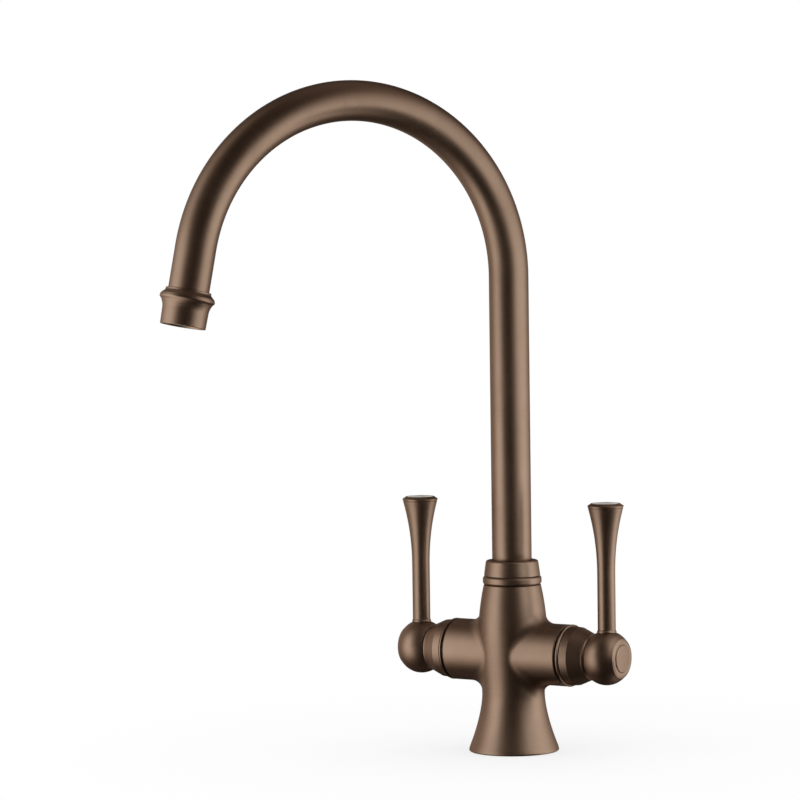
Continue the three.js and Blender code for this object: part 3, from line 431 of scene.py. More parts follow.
# %% Fine grit
def make_grit_group():
    """Height = small cells, as in cast or moulded skin. Speck = the few darkest cells."""
    tree, given, result = start_group(
        "fine_grit",
        [("Place", "Vector", None), ("Size", "Float", 900.0)],
        [("Height", "Float"), ("Speck", "Float")])
    cells = node(tree, "ShaderNodeTexVoronoi", Vector=given["Place"],
                 Scale=given["Size"]).outputs["Distance"]
    dust = node(tree, "ShaderNodeTexNoise", Vector=given["Place"], Scale=given["Size"],
                Detail=4.0, Roughness=0.7).outputs[0]
    tree.links.new(calculate(tree, "MULTIPLY", cells, dust), result["Height"])
    tree.links.new(remap(tree, dust, 0.64, 0.74, 0.0, 1.0), result["Speck"])
    return tree


cloud_group = make_cloud_group()
lathe_group = make_lathe_group()
wear_and_shade_group = make_wear_and_shade_group()
grit_group = make_grit_group()
print("groups:", [g.name for g in bpy.data.node_groups])

# %% [markdown]
# ## Finishes
#
# The bronze is a thin brown coat on brushed metal, so it is fully metallic, soft in its
# shine and slightly uneven in tone. Brass, steel, ceramic, rubber and plastics are built
# from the same groups with other numbers, because they differ in kind less than in
# amount: how strong the cloud is, how fine the lines are, and how much grit there is.

# %% A finish from the shared groups
BUMP_DEPTH = 0.00002


def make_finish(name, colour, roughness, metallic=0.0, dark=0.75, light=1.15, cloud=40.0,
                tint=(1, 1, 1), lines=0.0, line_scale=3.0, grit=0.0, grit_scale=900.0,
                gloss_change=0.06, wear_and_highlight=0.0, coat=0.0):
    """Colour = the base between its dark and light versions by the cloudy tone, nudged by lathe
    streaks, lighter on edges, partly as wear and partly as a painted highlight, and darker in
    corners as a painted shade. Roughness follows the smudges and streaks. The bump's height is
    lathe lines plus grit."""
    material = bpy.data.materials.new(name)
    material.use_nodes = True
    tree = material.node_tree
    shader = tree.nodes["Principled BSDF"]
    place = node(tree, "ShaderNodeTexCoord").outputs["Object"]
    tone = use_group(tree, cloud_group, Place=place, Size=cloud)
    turned = use_group(tree, lathe_group, Lines_per_mm=line_scale)
    marks = use_group(tree, wear_and_shade_group, Place=place)
    skin = use_group(tree, grit_group, Place=place, Size=grit_scale)
    shade = lambda amount, hue: (*(c * amount * h for c, h in zip(colour, hue)), 1)
    base = blend_colour(tree, tone["Tone"], shade(dark, tint), shade(light, (1, 1, 1)))
    streak = calculate(tree, "MULTIPLY", turned["Streak"], min(lines, 1.0) * 0.9)
    base = blend_colour(tree, calculate(tree, "ADD", streak, 0.25, clamp=True), base,
                        shade(light * 1.05, (1, 1, 1)))
    base = blend_colour(tree, calculate(tree, "MULTIPLY", skin["Speck"], 0.35), base,
                        shade(dark * 0.7, tint))
    # Painted shade: corners darken towards a deep brown by the corner mask, which also roughens
    # them below as patina.
    base = blend_colour(tree, calculate(tree, "MULTIPLY", marks["Patina_and_shade"], 0.5), base,
                        shade(dark * 0.45, tint))
    # Painted highlight: edges lighten by the edge mask, partly as wear and partly as the shine
    # that rounded edges catch.
    base = blend_colour(tree, calculate(tree, "MULTIPLY", marks["Wear_and_highlight"], wear_and_highlight), base,
                        shade(light * 1.35, (1, 1, 1)))
    tree.links.new(base, shader.inputs["Base Color"])
    change = calculate(tree, "SUBTRACT", tone["Smudge"], 0.5)
    rough = calculate(tree, "MULTIPLY_ADD", change, gloss_change, roughness)
    rough = calculate(tree, "MULTIPLY_ADD", turned["Streak"], 0.12 * min(lines, 1.0), rough)
    rough = calculate(tree, "MULTIPLY_ADD", marks["Patina_and_shade"], 0.15, rough, clamp=True)
    tree.links.new(rough, shader.inputs["Roughness"])
    shader.inputs["Metallic"].default_value = metallic
    shader.inputs["Coat Weight"].default_value = coat
    height = calculate(tree, "MULTIPLY", turned["Height"], lines)
    height = calculate(tree, "MULTIPLY_ADD", skin["Height"], grit, height)
    bump = node(tree, "ShaderNodeBump", Strength=1.0, Distance=BUMP_DEPTH,
                Height=height)
    tree.links.new(bump.outputs[0], shader.inputs["Normal"])
    return material


BRONZE_COLOUR = (0.302, 0.212, 0.152)
bronze = make_finish("satin_bronze", BRONZE_COLOUR, 0.41, 1.0, dark=0.86, light=1.08,
                     cloud=22.0, tint=(1.0, 0.95, 0.9), lines=0.8, line_scale=3.2, grit=0.35,
                     grit_scale=1500.0, gloss_change=0.05, wear_and_highlight=0.25)
brass = make_finish("machined_brass", (0.46, 0.305, 0.105), 0.32, 1.0, dark=0.82,
                    cloud=60.0, tint=(0.95, 1.0, 0.9), lines=0.8, grit=0.3, wear_and_highlight=0.3)
steel = make_finish("stainless_steel", (0.49, 0.5, 0.51), 0.28, 1.0, dark=0.85,
                    cloud=80.0, lines=0.6, grit=0.2, wear_and_highlight=0.2)
ceramic = make_finish("polished_ceramic", (0.87, 0.84, 0.79), 0.2, dark=0.94, light=1.02,
                      cloud=120.0, grit=0.1, gloss_change=0.04)
enamel = make_finish("index_enamel", (0.81, 0.77, 0.69), 0.28, dark=0.95, light=1.02,
                     cloud=150.0, grit=0.12, gloss_change=0.05, coat=0.4)
marking = make_finish("index_marking", (0.16, 0.15, 0.14), 0.42, dark=0.8, light=1.2,
                      cloud=300.0, grit=0.2)
rubber = make_finish("black_rubber", (0.013, 0.013, 0.014), 0.72, dark=0.7, light=1.4,
                     cloud=90.0, grit=0.9, grit_scale=1200.0, gloss_change=0.12)
nylon = make_finish("white_nylon", (0.78, 0.74, 0.67), 0.5, dark=0.93, light=1.03,
                    cloud=90.0, grit=0.4, gloss_change=0.1)
plastic = make_finish("grey_plastic", (0.265, 0.275, 0.28), 0.45, dark=0.88, light=1.08,
                      cloud=90.0, grit=0.5, gloss_change=0.1)
print("finishes:", len(bpy.data.materials))

# %% [markdown]
# ## Sizes
#
# These are the drawing's sizes, in millimetres. Heights go up from the worktop, and
# reaches go outwards from the middle of the body along the handles' axis.

# %% The drawing's sizes
FIT = 0.3
BASE_RADIUS, BASE_EDGE = 25.3, 0.9
WAIST_RADIUS, WAIST_HEIGHT, FLARE_POWER = 17.45, 31.5, 1.6
BELLY_RADIUS, BELLY_HEIGHT = 19.3, 62.0
SHOULDER_RADIUS, SHOULDER_HEIGHT = 15.9, 92.9
AXIS_HEIGHT = 55.0
ARM_RADIUS, ARM_REACH, ARM_FILLET = 17.1, 36.0, 8.0
NECK_RADIUS, NECK_TOP, BORE_RADIUS, BORE_FLOOR = 12.9, 99.4, 11.4, 71.7
VALVE_BORE, VALVE_FLOOR = 11.1, 15.0
COLLAR_BORE = NECK_RADIUS + FIT
GASKET_INNER, GASKET_OUTER, GASKET_HEIGHT = 20.4, 22.8, 2.2
STUD = {"radius": 3.6, "forward": 13.5, "depth": 16}
PORT = {"reach": 9.5, "radius": 4.6, "depth": 14, "riser": 2.8}
CROSS = {"radius": 3.4, "start": 6.7, "end": 16}
OUTLET_WAY = {"radius": 2.8, "start": (17.8, 63.3), "end": (5.2, 73.1)}
SIDES = 128

# %% [markdown]
# ## The body
#
# The body is one casting: a flared column and an arm to each side, joined by soft webs.
# A boolean of two cylinders would leave a hard seam there. Instead the surface is worked
# out on rays round the arm's axis: a ray starts at the floor of the arm's bore, runs out
# along the bore, over the rim, back along the arm, up the web, and on over the column to
# a frame half way round. Two such halves and two turned ends make the whole skin.

# %% The column's profile
def trunk_radius(height):
    """A power curve for the flared foot, half a cosine wave up to the belly and a
    parabola in to the shoulder."""
    height = np.asarray(height, float)
    foot = np.clip((WAIST_HEIGHT - height) / (WAIST_HEIGHT - BASE_EDGE), 0, 1)
    rise = np.clip((height - WAIST_HEIGHT) / (BELLY_HEIGHT - WAIST_HEIGHT), 0, 1)
    fall = np.clip((height - BELLY_HEIGHT) / (SHOULDER_HEIGHT - BELLY_HEIGHT), 0, 1)
    return (WAIST_RADIUS + (BASE_RADIUS - WAIST_RADIUS) * foot ** FLARE_POWER
            + (BELLY_RADIUS - WAIST_RADIUS) * (1 - np.cos(math.pi * rise)) / 2
            - (BELLY_RADIUS - SHOULDER_RADIUS) * fall ** 2)


def trunk_slope(height):
    """How fast the radius grows with height, from two close heights."""
    return (trunk_radius(height + 0.01) - trunk_radius(height - 0.01)) / 0.02


# %% The web's rolling ball
def web(angle):
    """For rays at these angles round the arm: the ball's centre, which lies its radius
    off the arm and off the column, and where it touches the column, as an azimuth and a
    height. The column leans, so the touching height is found by a few repeats."""
    centre_y = (ARM_RADIUS + ARM_FILLET) * np.cos(angle)
    centre_z = AXIS_HEIGHT + (ARM_RADIUS + ARM_FILLET) * np.sin(angle)
    touch = centre_z.copy()
    for _ in range(12):
        slope = trunk_slope(touch)
        touch = centre_z + ARM_FILLET * slope / np.sqrt(1 + slope ** 2)
    slope = trunk_slope(touch)
    offset = trunk_radius(touch) + ARM_FILLET / np.sqrt(1 + slope ** 2)
    centre_x = np.sqrt(offset ** 2 - centre_y ** 2)
    centre = np.stack([centre_x, centre_y, centre_z], 1)
    return centre, np.arctan2(centre_y, centre_x), touch


# %% Half of the body's skin
FOOT_LOW = 2.6
CROWN_HIGH = SHOULDER_HEIGHT - 1.0
WEB_ROWS, COLUMN_ROWS, ARM_ROWS = 10, 26, 10
RIM_BAND = 4
QUARTER = SIDES // 2


def body_half():
    """The skin of one side, as a grid of rays round the arm's axis. The last row is a
    frame: the top edge, the two sides half way round the column, and the foot."""
    angle = -np.pi / 4 - 2 * np.pi * np.arange(4 * QUARTER) / (4 * QUARTER)
    ray = np.stack([np.zeros_like(angle), np.cos(angle), np.sin(angle)], 1)
    bore = rounded([(0, VALVE_FLOOR), (VALVE_BORE, VALVE_FLOOR, 0.4),
                    (VALVE_BORE, ARM_REACH, 0.3), (ARM_RADIUS, ARM_REACH, 0.55),
                    (ARM_RADIUS, ARM_REACH - RIM_BAND)], closed=False)
    rate = bends(bore, False)
    centre, azimuth, touch = web(angle)
    rows = [np.array([place, 0, AXIS_HEIGHT]) + radius * ray for radius, place in bore[:-1]]
    arm = centre - ray * ARM_FILLET
    share = np.linspace(0, 1, ARM_ROWS + 1)[:-1, None]
    reach = ARM_REACH - RIM_BAND + (arm[:, 0] - ARM_REACH + RIM_BAND) * share
    rows += [np.concatenate([r[:, None], (np.array([[0, AXIS_HEIGHT]]) + ARM_RADIUS
                                          * ray[:, 1:])], 1) for r in reach]
    radius = trunk_radius(touch)
    meet = np.stack([radius * np.cos(azimuth), radius * np.sin(azimuth), touch], 1)
    first, last = (arm - centre) / ARM_FILLET, (meet - centre) / ARM_FILLET
    span = np.arccos(np.clip((first * last).sum(1), -1, 1))[:, None]
    for part in np.linspace(0, 1, WEB_ROWS + 1)[:-1]:
        way = (np.sin((1 - part) * span) * first + np.sin(part * span) * last) / np.sin(span)
        rows.append(centre + ARM_FILLET * way)
    turn = np.degrees(angle) % 360
    side = lambda middle: (turn - middle + 180) % 360 - 180
    top, left, foot, rear = side(90) / 45, side(180) / 45, side(270) / 45, side(0) / 45
    edge_azimuth = np.select([abs(top) <= 1, abs(foot) <= 1, abs(rear) <= 1],
                             [-top * np.pi / 2, foot * np.pi / 2, np.pi / 2], -np.pi / 2)
    rise = np.select([abs(top) <= 1, abs(foot) <= 1, abs(rear) <= 1], [1, -1, rear], -left)
    edge_height = AXIS_HEIGHT + np.where(rise > 0, rise * (CROWN_HIGH - AXIS_HEIGHT),
                                         rise * (AXIS_HEIGHT - FOOT_LOW))
    for part in np.linspace(0, 1, COLUMN_ROWS + 1):
        around = azimuth + (edge_azimuth - azimuth) * part
        height = touch + (edge_height - touch) * part
        radius = trunk_radius(height)
        rows.append(np.stack([radius * np.cos(around), radius * np.sin(around), height], 1))
    rows = np.array(rows)
    count, sides = rows.shape[:2]
    fill = lambda values, other: np.repeat(np.concatenate([values, np.full(
        count - len(values), other)]), sides)
    on_column = np.arange(count) > count - COLUMN_ROWS
    run = np.where(on_column[:, None], rows[:, :, 2] + 100, rows[:, :, 0])
    round_column = np.arctan2(rows[:, :, 1], rows[:, :, 0])
    grain = np.stack([
        run, np.where(on_column[:, None], np.cos(round_column), ray[None, :, 1]),
        np.where(on_column[:, None], np.sin(round_column), ray[None, :, 2])],
        2).reshape(-1, 3)
    place = np.arange(count) - (len(bore) - 1 + ARM_ROWS)
    fade = np.clip(np.maximum(1 - (place + 1) / 4, (place - WEB_ROWS) / 5), 0, 1)
    numbers = np.arange(count * sides).reshape(count, sides)
    numbers[0] = 0
    used, renumbered = np.unique(numbers, return_inverse=True)
    return {
        "points": rows.reshape(-1, 3)[used],
        "faces": stitched(renumbered.reshape(count, sides), False),
        "grain": grain[used],
        "edge": fill(np.clip(rate[:-1], 0, 1), 0.0)[used],
        "nook": fill(np.clip(-rate[:-1], 0, 1), 0.0)[used],
        "lathe": np.repeat(fade, sides)[used],
    }


# %% The body's turned ends and its drillings
def drilling(radius, first, last, sides=32):
    """A closed rod between two points, as a tool for cutting."""
    first, last = Vector(first), Vector(last)
    way = last - first
    spin = np.array(way.to_track_quat("Z", "Y").to_matrix())
    rod = carried([(0, 0), (radius, 0), (radius, way.length), (0, way.length)],
                  sides=sides, closed=False)
    return {**rod, "points": rod["points"] @ spin.T + np.array(first)}


def make_body():
    """Two halves and two ends, welded, then the ports, risers and the stud's hole."""
    crown = rounded([
        (float(trunk_radius(CROWN_HIGH)), CROWN_HIGH), (SHOULDER_RADIUS, SHOULDER_HEIGHT, 0.5),
        (NECK_RADIUS, SHOULDER_HEIGHT, 0.2), (NECK_RADIUS, NECK_TOP, 0.25),
        (BORE_RADIUS, NECK_TOP, 0.25), (BORE_RADIUS, BORE_FLOOR, 0.4), (0, BORE_FLOOR)],
        closed=False)
    inner, outer, deep = GASKET_INNER - FIT, GASKET_OUTER + FIT, GASKET_HEIGHT + FIT
    foot = rounded([
        (0, 0), (inner, 0, 0.1), (inner, deep), (outer, deep), (outer, 0, 0.1),
        (BASE_RADIUS + 0.02, 0, 1.1), (float(trunk_radius(FOOT_LOW)), FOOT_LOW)], closed=False)
    ends = [carried(crown, sides=2 * QUARTER, closed=False, start=np.pi / 2),
            carried(foot, sides=2 * QUARTER, closed=False, start=np.pi / 2)]
    half = body_half()
    skin = mesh_of("body", half, placed(half, turn=np.pi), *ends, weld=True)
    tools = [drilling(STUD["radius"], (0, STUD["forward"], -1),
                      (0, STUD["forward"], STUD["depth"]))]
    for way in (-1, 1):
        port = PORT["reach"] * way
        start, end = OUTLET_WAY["start"], OUTLET_WAY["end"]
        tools += [
            drilling(PORT["radius"], (port, 0, -1), (port, 0, PORT["depth"])),
            drilling(PORT["riser"], (port, 0, PORT["depth"] - 1), (port, 0, AXIS_HEIGHT)),
            drilling(CROSS["radius"], (CROSS["start"] * way, 0, AXIS_HEIGHT),
                     (CROSS["end"] * way, 0, AXIS_HEIGHT)),
            drilling(OUTLET_WAY["radius"], (start[0] * way, 0, start[1]),
                     (end[0] * way, 0, end[1])),
        ]
    return carved(skin, *tools)


finish_piece("column_and_arms", make_body(), "body", "bronze", bronze, "body_casting")
gasket = rounded([(GASKET_INNER, 0, 0.3), (GASKET_OUTER, 0, 0.3),
                  (GASKET_OUTER, GASKET_HEIGHT, 0.3), (GASKET_INNER, GASKET_HEIGHT, 0.3)])
finish_piece("foot_gasket", mesh_of("foot_gasket", carried(gasket, sides=SIDES)),
             "body", "rubber", rubber, "base_gasket")

# %% [markdown]
# ## The collar
#
# A rounded bead and a slightly tapered sleeve hide the swivel. They are separate rings
# on the real tap, so a fine dark line shows above and below the bead. Both are turned.

# %% Bead and sleeve
BEAD_LOW, BEAD_HIGH, BEAD_RADIUS = 93.2, 97.6, 16.35
SLEEVE_LOW, SLEEVE_HIGH = 97.9, 106.5
SLEEVE_FOOT, SLEEVE_TOP = 15.65, 14.5
LIP_UNDER = 103.6

bead = rounded([
    (COLLAR_BORE, BEAD_LOW), (SHOULDER_RADIUS - 0.3, BEAD_LOW, 0.15),
    (BEAD_RADIUS, BEAD_LOW + 0.8, 1.0), (BEAD_RADIUS, BEAD_HIGH - 0.8, 1.0),
    (SHOULDER_RADIUS - 0.35, BEAD_HIGH, 0.15), (COLLAR_BORE, BEAD_HIGH)])
finish_piece("bead_ring", mesh_of("bead_ring", carried(bead, sides=SIDES)),
             "body", "bronze", bronze, "collar_bead")
sleeve = rounded([
    (COLLAR_BORE, SLEEVE_LOW), (SLEEVE_FOOT, SLEEVE_LOW, 0.25),
    (SLEEVE_FOOT - 0.3, SLEEVE_LOW + 2.5, 4), (SLEEVE_TOP, SLEEVE_HIGH, 1.25),
    (BORE_RADIUS, SLEEVE_HIGH, 0.25), (BORE_RADIUS, LIP_UNDER, 0.1), (COLLAR_BORE, LIP_UNDER)])
finish_piece("sleeve_ring", mesh_of("sleeve_ring", carried(sleeve, sides=SIDES)),
             "body", "bronze", bronze, "collar_sleeve")

# %% [markdown]
# ## The swan neck
#
# The spout is one tube: a straight column, a round bend of more than a half circle and a
# short straight tail. Its wall is a ring in section, carried along that line, so the same
# function makes it as makes the turned pieces. It swings about the column, and at rest
# its plane is turned a little from the front.

# %% The spout's line and its tube
SPOUT_TURN = -math.pi / 2 - math.radians(27.8)
TUBE_RADIUS, TUBE_WALL, TUBE_LOW = 11.0, 1.2, 104.2
BEND_LOW, BEND_RADIUS, BEND_SWEEP = 264.2, 97.0, math.radians(168.6)
TAIL, SOCKET = 22.8, 5.0
BEND_ROWS = 120


def swan_line(run):
    """A straight rise to the bend's foot, then a circle, then straight on. Side points
    across the bend in its own plane and other side is square to that plane."""
    run = np.asarray(run, float)
    bend = np.clip((run - BEND_LOW) / BEND_RADIUS, 0, BEND_SWEEP)
    past = np.maximum(run - BEND_LOW - BEND_RADIUS * BEND_SWEEP, 0)
    sine, cosine, zero = np.sin(bend), np.cos(bend), np.zeros_like(run)
    centre = np.stack([BEND_RADIUS * (1 - cosine) + past * sine, zero,
                       np.minimum(run, BEND_LOW) + BEND_RADIUS * sine + past * cosine], 1)
    return centre, np.stack([cosine, zero, -sine], 1), np.stack([zero, zero + 1, zero], 1)


bend_end = BEND_LOW + BEND_RADIUS * BEND_SWEEP
tube_end = bend_end + TAIL + SOCKET
runs = np.concatenate([np.linspace(TUBE_LOW + 0.5, BEND_LOW, 24),
                       np.linspace(BEND_LOW, bend_end, BEND_ROWS)[1:],
                       np.linspace(bend_end, tube_end - 0.5, 6)[1:]])
inner_radius = TUBE_RADIUS - TUBE_WALL
tube = [(inner_radius, TUBE_LOW), (TUBE_RADIUS - 0.3, TUBE_LOW),
        *[(TUBE_RADIUS, r) for r in runs], (TUBE_RADIUS - 0.3, tube_end),
        (inner_radius, tube_end), *[(inner_radius, r) for r in runs[::-2]]]
swan_neck = placed(carried(tube, swan_line, sides=80), turn=SPOUT_TURN)
finish_piece("swan_neck_tube", mesh_of("swan_neck_tube", swan_neck), "spout", "bronze",
             bronze, "spout_tube")

# %% [markdown]
# ## The nozzle
#
# A small bell at the end of the tube: a step, a cone out to a rounded ridge, a hollow
# sweep in, and a short straight skirt. Inside sits a grey aerator with rings of holes.

# %% Nozzle shell and aerator
NOZZLE = {"length": 19.5, "top": 12.2, "ridge": 14.7, "ridge_drop": 4.9, "skirt": 12.4,
          "skirt_drop": 11.2, "rim": 12.2, "mouth": 11.55, "bore": 10.7, "throat": 9.8,
          "seat": 8.0}
AERATOR = {"radius": 10.4, "wall": 1.4, "top": 10.4, "face": 18.6, "floor": 2.0, "hole": 0.9}
AERATOR_RINGS = ((3.2, 6), (6.4, 10))


def nozzle_line(drop):
    """The straight line on from the tube's tail. Height here is minus the drop from the
    joint, so that turned profiles keep their metal on the left."""
    past = TAIL - np.asarray(drop, float)
    zero = np.zeros_like(past)
    sine, cosine = math.sin(BEND_SWEEP), math.cos(BEND_SWEEP)
    centre = np.stack([BEND_RADIUS * (1 - cosine) + past * sine, zero,
                       BEND_LOW + BEND_RADIUS * sine + past * cosine], 1)
    return (centre, np.stack([zero - cosine, zero, zero + sine], 1),
            np.stack([zero, zero + 1, zero], 1))


def nozzle_skin():
    """The outside from the joint down to the rim, then back up the inside. Under the
    ridge the radius falls with the square of what is left of the hollow."""
    n = NOZZLE
    hollow = lambda drop: n["skirt"] + (n["ridge"] - n["skirt"]) * (
        1 - (drop - n["ridge_drop"]) / (n["skirt_drop"] - n["ridge_drop"])) ** 2
    corners = [(TUBE_RADIUS + FIT, 0, 0.15), (n["top"], 0, 0.35), (n["top"] + 0.1, 1.3, 0.8),
               (n["ridge"] - 0.3, n["ridge_drop"] - 1.6, 1.1),
               (n["ridge"] + 0.25, n["ridge_drop"] + 0.15, 1.1)]
    corners += along(n["ridge_drop"] + 1.3, n["skirt_drop"], 14, hollow)
    corners += [(n["rim"], n["length"], 0.8), (n["mouth"], n["length"], 0.25),
                (n["bore"], n["length"] - 1.3), (n["bore"], n["seat"]), (n["throat"], n["seat"]),
                (n["throat"], SOCKET + FIT), (TUBE_RADIUS + FIT, SOCKET + FIT)]
    return rounded([(c[0], -c[1], *c[2:]) for c in corners])[::-1]


shell = placed(carried(nozzle_skin(), nozzle_line, sides=SIDES), turn=SPOUT_TURN)
finish_piece("nozzle_bell", mesh_of("nozzle_bell", shell, weld=True), "spout", "bronze",
             bronze, "nozzle_shell")


# %% The aerator in the nozzle
def make_aerator():
    """A grey cup with rings of small holes through its floor. It is turned along Z, cut,
    and then laid on the nozzle's own slanted axis."""
    a = AERATOR
    inner = a["radius"] - a["wall"]
    cup = carried(rounded([
        (0, -a["face"]), (a["radius"] - 2.2, -a["face"], 0.4),
        (a["radius"] - 1.9, 0.5 - a["face"], 0.3),
        (a["radius"] - 0.6, 0.5 - a["face"], 0.3), (a["radius"], 0.9 - a["face"], 0.2),
        (a["radius"], -a["top"], 0.2), (inner, -a["top"], 0.2),
        (inner, a["floor"] - a["face"], 0.3), (0, a["floor"] - a["face"])], closed=False),
        sides=96, closed=False)
    jets = [drilling(a["hole"], (r * math.cos(t), r * math.sin(t), -a["face"] - 1),
                     (r * math.cos(t), r * math.sin(t), 3 - a["face"]), 20)
            for r, count in AERATOR_RINGS
            for t in 2 * np.pi * np.arange(count) / count]
    mesh = carved(mesh_of("aerator", cup), *jets)
    place = np.zeros(len(mesh.vertices) * 3)
    mesh.vertices.foreach_get("co", place)
    place = place.reshape(-1, 3) / MM
    centre, side, other = nozzle_line(place[:, 2])
    laid = centre + side * place[:, :1] + other * place[:, 1:2]
    cosine, sine = math.cos(SPOUT_TURN), math.sin(SPOUT_TURN)
    laid = laid @ np.array([[cosine, -sine, 0], [sine, cosine, 0], [0, 0, 1]]).T
    mesh.vertices.foreach_set("co", (laid * MM).ravel())
    mesh.update()
    return mesh


finish_piece("aerator_cup", make_aerator(), "spout", "aerator", plastic, "aerator_body")

# %% [markdown]
# ## The arms' trim, ball hubs and levers
#
# Outside each arm come a dark step, a thin bright ring, a tapered shroud and the ball
# that the lever stands on. The ball is two half ellipses with a flat outer end; the end
# has a shallow round cap over the screw. The lever is a slim rod that opens into a
# trumpet, with a white disc let into its chamfered top.

# %% Ring, shroud and ball
RING = {"low": 36.3, "step": 37.3, "crest": 38.0, "high": 38.5, "radius": 17.2,
        "step_radius": 15.8, "outer": 16.55, "inner": 11.85, "land": 14.6,
        "arm_end": 36.01, "shroud_end": 38.79}
SHROUD = {"low": 38.8, "band": 43.4, "high": 52.2, "radius": 16.4, "band_radius": 16.0,
          "mouth": 12.4, "bore": 11.9, "hole": 6.4, "wall": 2.0, "land": 44.6}
HUB = {"centre": 60.4, "low": 52.5, "high": 70.5, "radius": 15.0, "inner": 13.9,
       "outer": 13.2, "shoulder": 8.3, "cap_bore": 7.68, "cap_floor": 69.1,
       "flat": 9.4, "head_bore": 4.6, "head_floor": 65.6, "screw_bore": 2.7, "spline_bore": 3.6,
       "spline_end": 58.5}


def ring_profile():
    """A dark step beside the arm, then the ring, which slopes in to the shroud. A hidden
    land inside fills the fitting gaps to the arm and the shroud, so no light shows through."""
    r = RING
    return rounded([(r["inner"], r["arm_end"]), (r["land"], r["arm_end"]),
                    (r["land"], r["low"]), (r["step_radius"], r["low"], 0.1),
                    (r["step_radius"], r["step"]), (r["radius"], r["step"], 0.25),
                    (r["radius"], r["crest"], 0.3), (r["outer"], r["high"], 0.1),
                    (r["land"], r["high"]), (r["land"], r["shroud_end"]),
                    (r["inner"], r["shroud_end"])])


def shroud_profile():
    """A nearly straight band, a crease, a straight cone and a small rounded lip where
    the ball begins."""
    s = SHROUD
    lip = s["high"] - 1.5
    cone = lambda place: s["band_radius"] + (s["mouth"] - s["band_radius"]) * (
        (place - s["band"]) / (s["high"] - s["band"]))
    return rounded([(s["bore"], s["low"]), (s["radius"], s["low"], 0.3),
                    (s["band_radius"], s["band"], 0.5), (cone(lip) - 0.12, lip, 0.25),
                    (s["mouth"] + 0.35, s["high"] - 0.75, 0.5),
                    (s["mouth"] - 0.3, s["high"], 0.35),
                    (s["hole"], s["high"], 0.2), (s["hole"], s["high"] - s["wall"]),
                    (s["mouth"] - s["wall"], s["high"] - s["wall"]),
                    (s["bore"], s["land"])])


def ball_radius(place):
    """Half an ellipse towards the body and half a blunter one away from it."""
    offset = np.asarray(place, float) - HUB["centre"]
    half = np.where(offset < 0, HUB["inner"], HUB["outer"])
    return HUB["radius"] * np.sqrt(1 - (offset / half) ** 2)


def hub_profile():
    """The ball, its rounded shoulder and flat end, then back in: the cap's seat, the
    screw head's seat, the screw's hole and the splined bore."""
    h = HUB
    shoulder = h["centre"] + h["shoulder"]
    return rounded([
        (h["spline_bore"], h["low"]), (float(ball_radius(h["low"])), h["low"], 0.3),
        *along(h["low"] + 0.6, shoulder, 30, ball_radius),
        (float(ball_radius(shoulder)) - 0.9, h["high"] - 0.7, 0.9),
        (h["flat"], h["high"] - 0.15, 1.3), (h["cap_bore"], h["high"] - 0.3, 0.1),
        (h["cap_bore"], h["cap_floor"]), (h["head_bore"], h["cap_floor"]),
        (h["head_bore"], h["head_floor"]), (h["screw_bore"], h["head_floor"]),
        (h["screw_bore"], h["spline_end"]), (h["spline_bore"], h["spline_end"])])


# %% Cap, lever and disc
CAP = {"radius": 7.6, "low": 69.4, "rim": 70.6, "crown": 0.28}
LEVER = {"low": 69.05, "foot": 5.4, "rod": 4.95, "rim": 10.0, "top": 140.3,
         "flare": 38.0, "power": 2.15, "tail": 2.9, "tail_length": 6.5, "recess": 7.6,
         "chamfer": 1.6}
INDEX = {"radius": 7.3, "low": 138.8, "dome": 0.12}
FOOT_SPOT = {"radius": 5.65, "low": 69.0, "high": 75}
TAIL_HOLE = {"radius": 3.2, "low": 62.5, "high": 70}


def cap_profile():
    """A round button with a soft edge and a shallow crown, whose height falls with the
    square of the radius."""
    c = CAP
    crown = lambda r: c["rim"] + c["crown"] * (1 - (r / c["radius"]) ** 2)
    return rounded([(0, c["low"]), (c["radius"], c["low"], 0.1),
                    (c["radius"], c["rim"], 0.8),
                    *[(r, crown(r)) for r in (6.0, 5.0, 4.0, 3.0, 2.0, 1.0)],
                    (0, c["rim"] + c["crown"])], closed=False)


def lever_profile():
    """A tail in the ball, the rod with its foot, the trumpet whose radius grows with a
    power of the height, a fine groove under the rim, the chamfer and the disc's seat."""
    v = LEVER
    rim = v["top"] - v["chamfer"]
    foot = rim - v["flare"]
    trumpet = lambda z: v["rod"] + (v["rim"] - v["rod"]) * (
        np.clip((z - foot) / v["flare"], 0, 1)) ** v["power"]
    groove = rim - 1.2
    return rounded([
        (0, v["low"] - v["tail_length"]), (v["tail"], v["low"] - v["tail_length"], 0.4),
        (v["tail"], v["low"]), (v["foot"], v["low"], 0.2), (v["foot"], v["low"] + 0.5, 0.3),
        (v["rod"], v["low"] + 1.5, 0.9), *along(v["low"] + 2.6, foot, 16, trumpet),
        *along(foot, groove - 0.2, 30, trumpet)[1:],
        (float(trumpet(groove)) - 0.22, groove - 0.1, 0.1),
        (float(trumpet(groove)) - 0.22, groove + 0.1, 0.1),
        (float(trumpet(groove)) + 0.05, groove + 0.25), (v["rim"], rim, 0.3),
        (v["recess"], v["top"], 0.2), (v["recess"], INDEX["low"] - FIT),
        (0, INDEX["low"] - FIT)], closed=False)


def index_profile():
    """A white disc, its face very slightly domed so that it catches the light."""
    i = INDEX
    top = LEVER["top"] - i["dome"]
    dome = lambda r: top + i["dome"] * (1 - (r / i["radius"]) ** 2)
    return rounded([(0, i["low"]), (i["radius"], i["low"], 0.1), (i["radius"], top, 0.15),
                    *[(r, dome(r)) for r in (6.4, 5.2, 4.0, 2.8, 1.5)],
                    (0, top + i["dome"])], closed=False)


